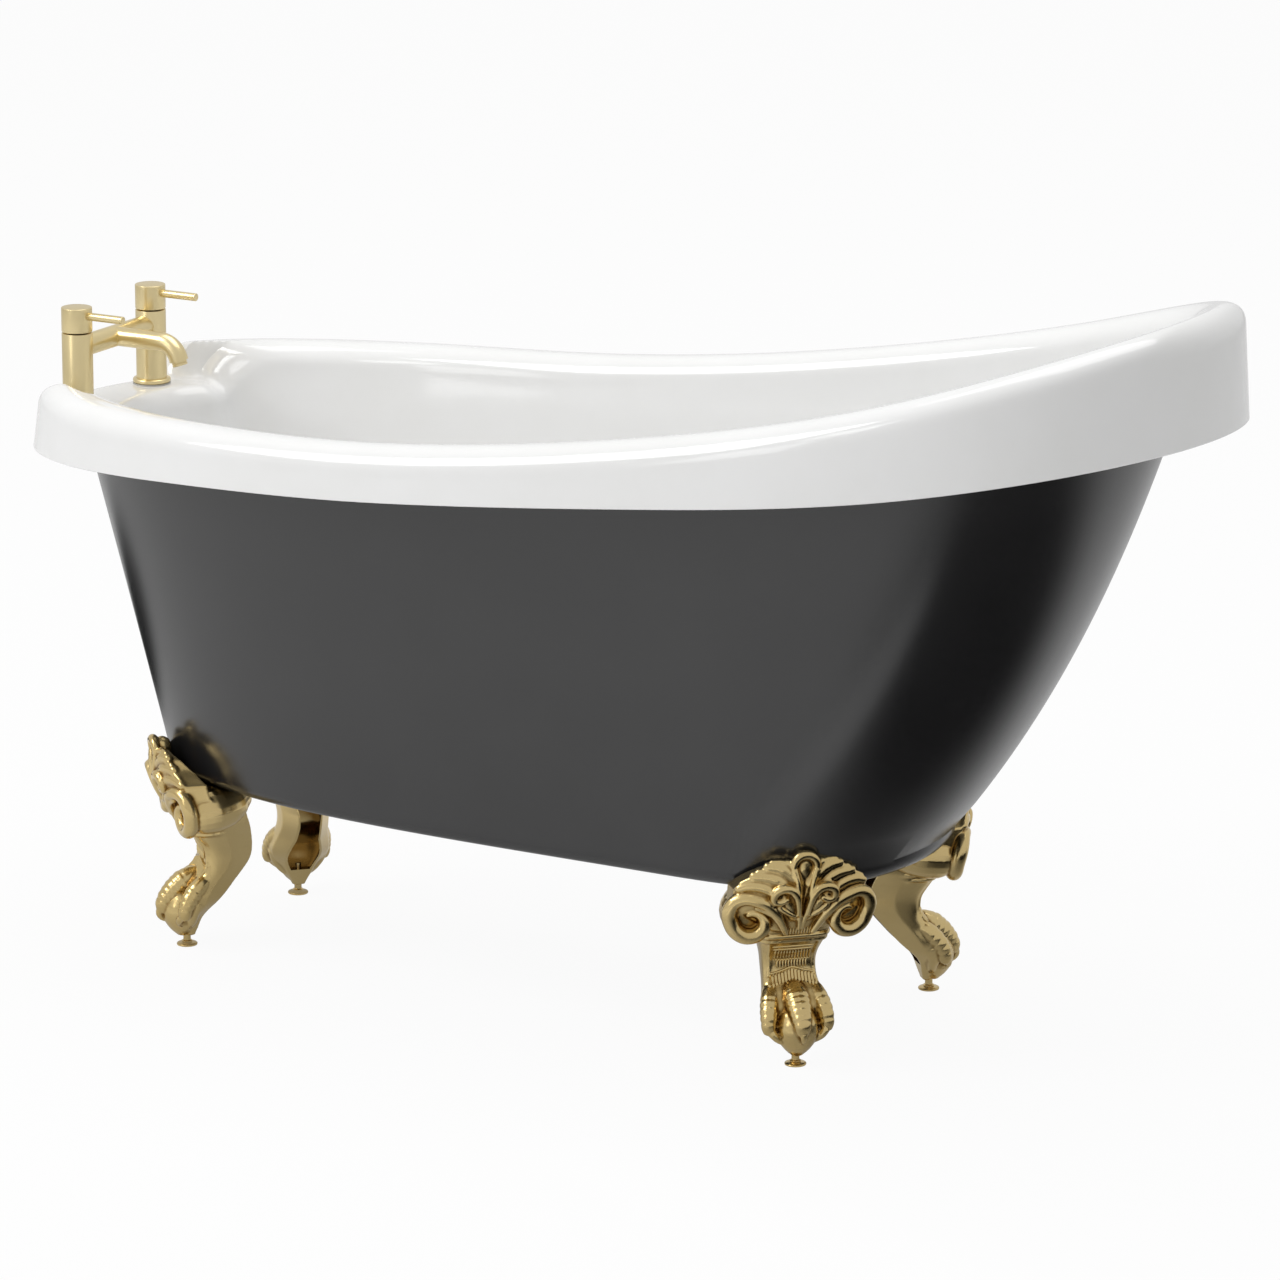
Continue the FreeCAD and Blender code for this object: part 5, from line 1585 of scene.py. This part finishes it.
@dataclass
class BathFiller:
    """Two-pillar deck filler with lever caps, bridge and bent spout."""

    x: float = -0.702
    half_spacing: float = 0.0787
    tail_low: float = 0.6085
    base: float = 0.6362
    pillar_radius: float = 0.0185
    pillar_height: float = 0.0905
    tail_radius: float = 0.0132
    groove: float = 0.0015
    cap_height: float = 0.0293
    lever_radius: float = 0.0048
    lever_start: float = 0.0125
    lever_end: float = 0.067
    lever_below_top: float = 0.0098
    ring_radius: float = 0.023
    ring_height: float = 0.006
    bridge_radius: float = 0.013
    bridge_height: float = 0.0715
    spout_radius: float = 0.0115
    spout_reach: float = 0.093
    spout_bend: float = 0.026
    spout_angle: float = 72.0
    spout_tail: float = 0.003
    aerator_radius: float = 0.00925
    aerator_length: float = 0.009
    aerator_depth: float = 0.003
    aerator_groove: tuple[tuple[float, float], ...] = (
        (0.0, 0.0022), (0.0006, 0.0025), (0.0006, 0.0031), (0.0, 0.0034))
    aerator_edge: float = 0.0006
    aerator_lip: float = 0.003
    aerator_recess: float = 0.004
    tail_edge: float = 0.0008
    foot_edge: float = 0.0004
    top_edge: float = 0.0006
    top_edge_middle: float = 0.0002
    cap_edge: float = 0.0008
    lever_edge: float = 0.0007
    ring_edge: float = 0.0024
    ring_gap: float = 0.0001
    bridge_edge: float = 0.0005
    bridge_end_share: float = 0.5
    straight_shares: tuple[float, ...] = (0.0, 0.5, 0.9)
    bend_steps: int = 9
    spout_step: float = 0.001
    pillar_steps: int = 128
    bridge_steps: int = 96
    bar_steps: int = 64

    def _pillar(self, hand: Hand) -> None:
        """Pillar with its tail.

        Args:
            hand: which tap.
        """
        top = self.base + self.pillar_height
        r, tail = self.pillar_radius, self.tail_radius
        profile = [(0.0, self.tail_low), (tail - self.tail_edge, self.tail_low), (tail, self.tail_low + self.tail_edge),
                   (tail, self.base), (r - self.foot_edge, self.base), (r, self.base + self.foot_edge),
                   (r, top - self.top_edge), (r - self.top_edge_middle, top - self.top_edge_middle),
                   (r - self.top_edge, top), (0.0, top)]
        node = "tap_pillar_" + hand.word
        mesh = lathe(profile, (self.x, hand.value * self.half_spacing, 0.0), self.pillar_steps).mesh(node)
        finish_piece("brushed_" + node, mesh, BRUSHED_BRASS, "tub", node)

    def _cap(self, hand: Hand) -> None:
        """Turning cap and its lever.

        Args:
            hand: which tap.
        """
        y = hand.value * self.half_spacing
        low = self.base + self.pillar_height + self.groove
        node = "tap_handle_" + hand.word
        body = "handle_" + hand.word
        cap = rounded_bar(self.pillar_radius, self.cap_height, self.cap_edge)
        mesh = lathe(cap, (self.x, y, low), self.pillar_steps).mesh(node)
        finish_piece("brushed_" + node, mesh, BRUSHED_BRASS, body, node)
        node = "tap_lever_" + hand.word
        z = low + self.cap_height - self.lever_below_top
        bar = rounded_bar(self.lever_radius, self.lever_end - self.lever_start, self.lever_edge)
        mesh = lathe(bar, (self.x + self.lever_start, y, z), self.bar_steps, (1.0, 0.0, 0.0)).mesh(node)
        finish_piece("brushed_" + node, mesh, LEVER_BRASS, body, node)

    def _base_rings(self) -> None:
        """Rings round the pillars' feet."""
        parts = MeshParts()
        for hand in Hand:
            bore = self.pillar_radius + self.ring_gap
            profile = rounded_bar(self.ring_radius, self.ring_height, self.ring_edge, bore)
            ring = lathe(profile, (self.x, hand.value * self.half_spacing, self.base), self.pillar_steps)
            parts.add(ring.points, ring.faces)
        mesh = parts.mesh("tap_base_rings")
        finish_piece("brushed_tap_base_rings", mesh, BRUSHED_BRASS, "tub", "tap_base_rings")

    def _bridge(self) -> None:
        """Cross tube between the pillars."""
        z = self.base + self.bridge_height
        run = 2 * (self.half_spacing - self.pillar_radius * self.bridge_end_share)
        bar = rounded_bar(self.bridge_radius, run, self.bridge_edge)
        mesh = lathe(bar, (self.x, -run / 2, z), self.bridge_steps, (0.0, 1.0, 0.0)).mesh("bridge")
        finish_piece("brushed_tap_bridge", mesh, BRUSHED_BRASS, "tub", "tap_bridge")

    def _spout(self) -> None:
        """Bent spout with its aerator."""
        z = self.base + self.bridge_height
        a = math.radians(self.spout_angle)
        straight = self.spout_reach - self.spout_bend * math.sin(a) - self.spout_tail * math.cos(a)
        path = [(self.x + straight * s, z) for s in self.straight_shares]
        for t in np.linspace(0.0, a, self.bend_steps):
            path.append((self.x + straight + self.spout_bend * math.sin(t), z - self.spout_bend * (1 - math.cos(t))))
        way = Vector((math.cos(a), 0.0, -math.sin(a)))
        end = Vector((path[-1][0], 0.0, path[-1][1])) + way * self.spout_tail
        path.append((end.x, end.z))
        roll = [(px, 0.0, pz, self.spout_radius) for px, pz in path]
        mesh = RollTree(BRUSHED_BRASS).make([roll], self.spout_step, self.bar_steps)
        finish_piece("brushed_tap_spout", mesh, LEVER_BRASS, "tub", "tap_spout")
        r, length, edge = self.aerator_radius, self.aerator_length, self.aerator_edge
        inner = r - self.aerator_lip
        recess = length - self.aerator_recess
        profile = [(0.0, 0.0), (r, 0.0)]
        profile += [(r - inset, self.aerator_depth + height) for inset, height in self.aerator_groove]
        profile += [(r, length - edge), (r - edge, length), (inner, length), (inner, recess), (0.0, recess)]
        start = end - way * self.aerator_depth
        mesh = lathe(profile, tuple(start), self.bar_steps, tuple(way)).mesh("aerator")
        finish_piece("brushed_spout_aerator", mesh, BRUSHED_BRASS, "tub", "spout_aerator")

    def build(self) -> None:
        """Make the filler."""
        for hand in Hand:
            self._pillar(hand)
            self._cap(hand)
        self._base_rings()
        self._bridge()
        self._spout()


# Fittings whose solids are shown as they are


@dataclass
class Fittings:
    """Waste, plug, overflow, seals, nuts, bolts, base board and bond."""

    finishes: dict[str, Finish] = field(default_factory=lambda: {
        "board": CHIPBOARD, "bond": CURED_RESIN, "zinc_steel": ZINC_STEEL, "brushed_brass": BRUSHED_BRASS,
        "turned_brass": PLAIN_BRASS, "rubber": SEAL_RUBBER, "fibre": RED_FIBRE, "grey_plastic": GREY_PLASTIC})

    def build(self) -> None:
        """Dress every solid that no other piece stands for."""
        for node, obj in frame["nodes"].items():
            if node in SHOWN_AS_PIECES:
                continue
            material = SHELF.get(self.finishes[slot_of(node)])
            if not obj.material_slots:
                obj.data.materials.append(material)
            for place in obj.material_slots:
                place.material = material
            LOG.info("solid %s dressed in %s", node, material.name)


# Studio


@dataclass(frozen=True)
class Lamp:
    """One soft area lamp aimed at the tub.

    Args:
        name: lamp name.
        place: where it stands.
        size: its width and height.
        watts: its power.
    """

    name: str
    place: Point
    size: tuple[float, float]
    watts: float


@dataclass(frozen=True)
class PaintedReflectionCard:
    """One soft-edged card on the floor that shows only in gloss: a dark card paints shade into reflections, a glowing
    card paints a highlight, and neither is seen by the camera, lights anything nor casts a shadow.

    Args:
        name: card name.
        middle: where its middle lies.
        reach: half its length and half its width.
        turn: degrees that it is turned on the floor.
        glow: how bright its painted highlight is, 0 for a card that paints shade.
    """

    name: str
    middle: Point
    reach: tuple[float, float]
    turn: float = 0.0
    glow: float = 0.0


def square(name: str, half: float) -> bpy.types.Mesh:
    """Flat square about the origin.

    Args:
        name: mesh name.
        half: half its side.

    Returns:
        The new mesh.
    """
    mesh = bpy.data.meshes.new(name)
    corners = [(-half, -half, 0.0), (half, -half, 0.0), (half, half, 0.0), (-half, half, 0.0)]
    mesh.from_pydata(corners, [], [(0, 1, 2, 3)])
    return mesh


def blend_shaders(tree: bpy.types.NodeTree, share: bpy.types.NodeSocket, first: bpy.types.NodeSocket,
                  second: bpy.types.NodeSocket, end: str) -> None:
    """Mix two shaders and send them to the surface of an output node.

    Args:
        tree: node tree to add to.
        share: share of the second shader.
        first: first shader.
        second: second shader.
        end: name of the output node.
    """
    mix = tree.nodes.new("ShaderNodeMixShader")
    tree.links.new(share, mix.inputs["Fac"])
    tree.links.new(first, mix.inputs[1])
    tree.links.new(second, mix.inputs[2])
    tree.links.new(mix.outputs["Shader"], tree.nodes[end].inputs["Surface"])


@dataclass
class Studio:
    """Floor, soft lights, camera, and cards that paint shade and a highlight into reflections only."""

    turn: float = 29.87
    rise: float = 14.66
    distance: float = 7.90076
    lens: float = 191.565
    target: Point = (0.0463, -0.02974, 0.4326)
    sensor: float = 36.0
    view_reach: float = 100.0
    floor_half: float = 14.0
    floor_tint: tuple[float, ...] = (0.8, 0.8, 0.8, 1.0)
    floor_roughness: float = 0.9
    floor_white: tuple[float, float] = (0.94, 0.3)
    room_white: tuple[float, float] = (1.0, 0.5)
    room_fill: float = 0.5
    card_edge: float = 0.55
    lamps: tuple[Lamp, ...] = (
        Lamp("key_left", (-3.2, -3.0, 4.2), (2.4, 2.4), 112.0),
        Lamp("top", (0.3, 0.6, 4.6), (4.0, 3.0), 80.0),
        Lamp("low_left", (-1.9, -4.6, 1.7), (1.0, 1.4), 9.0),
        Lamp("front_left", (-1.2, -4.0, 3.2), (1.0, 1.0), 9.0))
    # Cards that only reflections show: the dark ones are painted shade in the skin and brass near the slipper end, the
    # tap end and under the tub; the pale one is a painted highlight streak on the skin.
    cards: tuple[PaintedReflectionCard, ...] = (
        PaintedReflectionCard("dark_card_slipper", (1.10, -0.20, 0.003), (0.93, 1.05)),
        PaintedReflectionCard("dark_card_tap", (-1.55, 0.45, 0.003), (0.5, 0.5)),
        PaintedReflectionCard("grey_card_under", (-0.20, 0.05, 0.004), (0.65, 0.36), glow=0.4),
        PaintedReflectionCard("pale_card_slipper", (0.56, -0.64, 0.006), (0.50, 0.12), turn=-15.0, glow=1.1))

    def camera(self) -> None:
        """Place the camera at the photograph's viewing angle."""
        a = math.radians(self.turn)
        e = math.radians(self.rise)
        way = Vector((math.sin(a) * math.cos(e), -math.cos(a) * math.cos(e), math.sin(e)))
        data = bpy.data.cameras.new("camera")
        data.lens = self.lens
        data.sensor_width = self.sensor
        data.clip_end = self.view_reach
        cam = bpy.data.objects.new("camera", data)
        cam.location = Vector(self.target) + way * self.distance
        cam.rotation_euler = way.to_track_quat("Z", "Y").to_euler()
        bpy.context.scene.collection.objects.link(cam)
        bpy.context.scene.camera = cam

    def hang(self, lamp: Lamp) -> None:
        """Put one lamp in the scene, aimed at the tub.

        Args:
            lamp: the lamp.
        """
        data = bpy.data.lights.new(lamp.name, "AREA")
        data.shape = "RECTANGLE"
        data.size, data.size_y = lamp.size
        data.energy = lamp.watts
        obj = bpy.data.objects.new(lamp.name, data)
        obj.location = lamp.place
        way = Vector(lamp.place) - Vector(self.target)
        obj.rotation_euler = way.to_track_quat("Z", "Y").to_euler()
        bpy.context.scene.collection.objects.link(obj)

    @staticmethod
    def seen_share(tree: bpy.types.NodeTree, straight: float, mirrored_share: float) -> bpy.types.NodeSocket:
        """Share of plain white for rays from the camera and for those that mirror or pass through something.

        Args:
            tree: node tree to add to.
            straight: share seen by the camera and through clear things.
            mirrored_share: share seen in gloss.

        Returns:
            The share.
        """
        path = tree.nodes.new("ShaderNodeLightPath")
        shares = []
        for label, share in (("Is Camera Ray", straight), ("Is Transmission Ray", straight),
                             ("Is Glossy Ray", mirrored_share)):
            scaled = tree.nodes.new("ShaderNodeMath")
            scaled.operation = "MULTIPLY"
            scaled.inputs[1].default_value = share
            tree.links.new(path.outputs[label], scaled.inputs[0])
            shares.append(scaled.outputs["Value"])
        most = shares[0]
        for share in shares[1:]:
            larger = tree.nodes.new("ShaderNodeMath")
            larger.operation = "MAXIMUM"
            tree.links.new(most, larger.inputs[0])
            tree.links.new(share, larger.inputs[1])
            most = larger.outputs["Value"]
        return most

    def floor(self) -> None:
        """Lay the pale floor, white to the camera apart from a soft shadow."""
        mesh = square("floor", self.floor_half)
        mat = bpy.data.materials.new("pale_floor")
        mat.use_nodes = True
        tree = mat.node_tree
        matt = tree.nodes["Principled BSDF"]
        matt.inputs["Base Color"].default_value = self.floor_tint
        matt.inputs["Roughness"].default_value = self.floor_roughness
        glow = tree.nodes.new("ShaderNodeEmission")
        glow.inputs["Strength"].default_value = 1.0
        blend_shaders(tree, self.seen_share(tree, *self.floor_white), matt.outputs["BSDF"], glow.outputs["Emission"],
                      "Material Output")
        mesh.materials.append(mat)
        linked("floor", mesh)

    def lay(self, card: PaintedReflectionCard) -> None:
        """Lay one card on the floor, seen only in reflections as painted shade, or as a painted highlight when it
        glows.

        Args:
            card: the card.
        """
        mesh = square(card.name, 1.0)
        mat = bpy.data.materials.new(card.name)
        mat.use_nodes = True
        tree = mat.node_tree
        tree.nodes.remove(tree.nodes["Principled BSDF"])
        coords = tree.nodes.new("ShaderNodeTexCoord")
        fade = tree.nodes.new("ShaderNodeTexGradient")
        fade.gradient_type = "SPHERICAL"
        soft = tree.nodes.new("ShaderNodeMapRange")
        soft.interpolation_type = "SMOOTHSTEP"
        soft.inputs["From Max"].default_value = self.card_edge
        clear = tree.nodes.new("ShaderNodeBsdfTransparent")
        # Face of the card: black is painted shade, a glow is a painted highlight.
        face = tree.nodes.new("ShaderNodeEmission")
        face.inputs["Strength"].default_value = card.glow
        tree.links.new(coords.outputs["Object"], fade.inputs["Vector"])
        tree.links.new(fade.outputs["Fac"], soft.inputs["Value"])
        blend_shaders(tree, soft.outputs["Result"], clear.outputs["BSDF"], face.outputs["Emission"], "Material Output")
        mesh.materials.append(mat)
        obj = linked(card.name, mesh)
        obj.location = card.middle
        obj.rotation_euler = (0.0, 0.0, math.radians(card.turn))
        obj.scale = (*card.reach, 1.0)
        # Only reflections see the card, so it paints shade or a highlight into gloss and nothing else.
        obj.visible_camera = False
        obj.visible_diffuse = False
        obj.visible_shadow = False

    def sky(self) -> None:
        """Soft even room light, white to the camera."""
        world = bpy.data.worlds.new("room")
        bpy.context.scene.world = world
        world.use_nodes = True
        tree = world.node_tree
        fill = tree.nodes["Background"]
        fill.inputs["Color"].default_value = (1.0, 1.0, 1.0, 1.0)
        fill.inputs["Strength"].default_value = self.room_fill
        white = tree.nodes.new("ShaderNodeBackground")
        white.inputs["Color"].default_value = (1.0, 1.0, 1.0, 1.0)
        white.inputs["Strength"].default_value = 1.0
        blend_shaders(tree, self.seen_share(tree, *self.room_white), fill.outputs["Background"],
                      white.outputs["Background"], "World Output")

    def build(self) -> None:
        """Set up the whole studio."""
        bpy.context.scene.view_settings.view_transform = "Standard"
        self.camera()
        self.floor()
        self.sky()
        for lamp in self.lamps:
            self.hang(lamp)
        for card in self.cards:
            self.lay(card)


def main() -> None:
    """Build every sub-assembly in order."""
    logging.basicConfig(level=logging.INFO, format="%(message)s")
    outline = TubOutline()
    Studio().build()
    BathShell(outline).build()
    OuterSkin(outline).build()
    ClawFoot().build()
    BathFiller().build()
    Fittings().build()


if __name__ == "__main__":
    main()
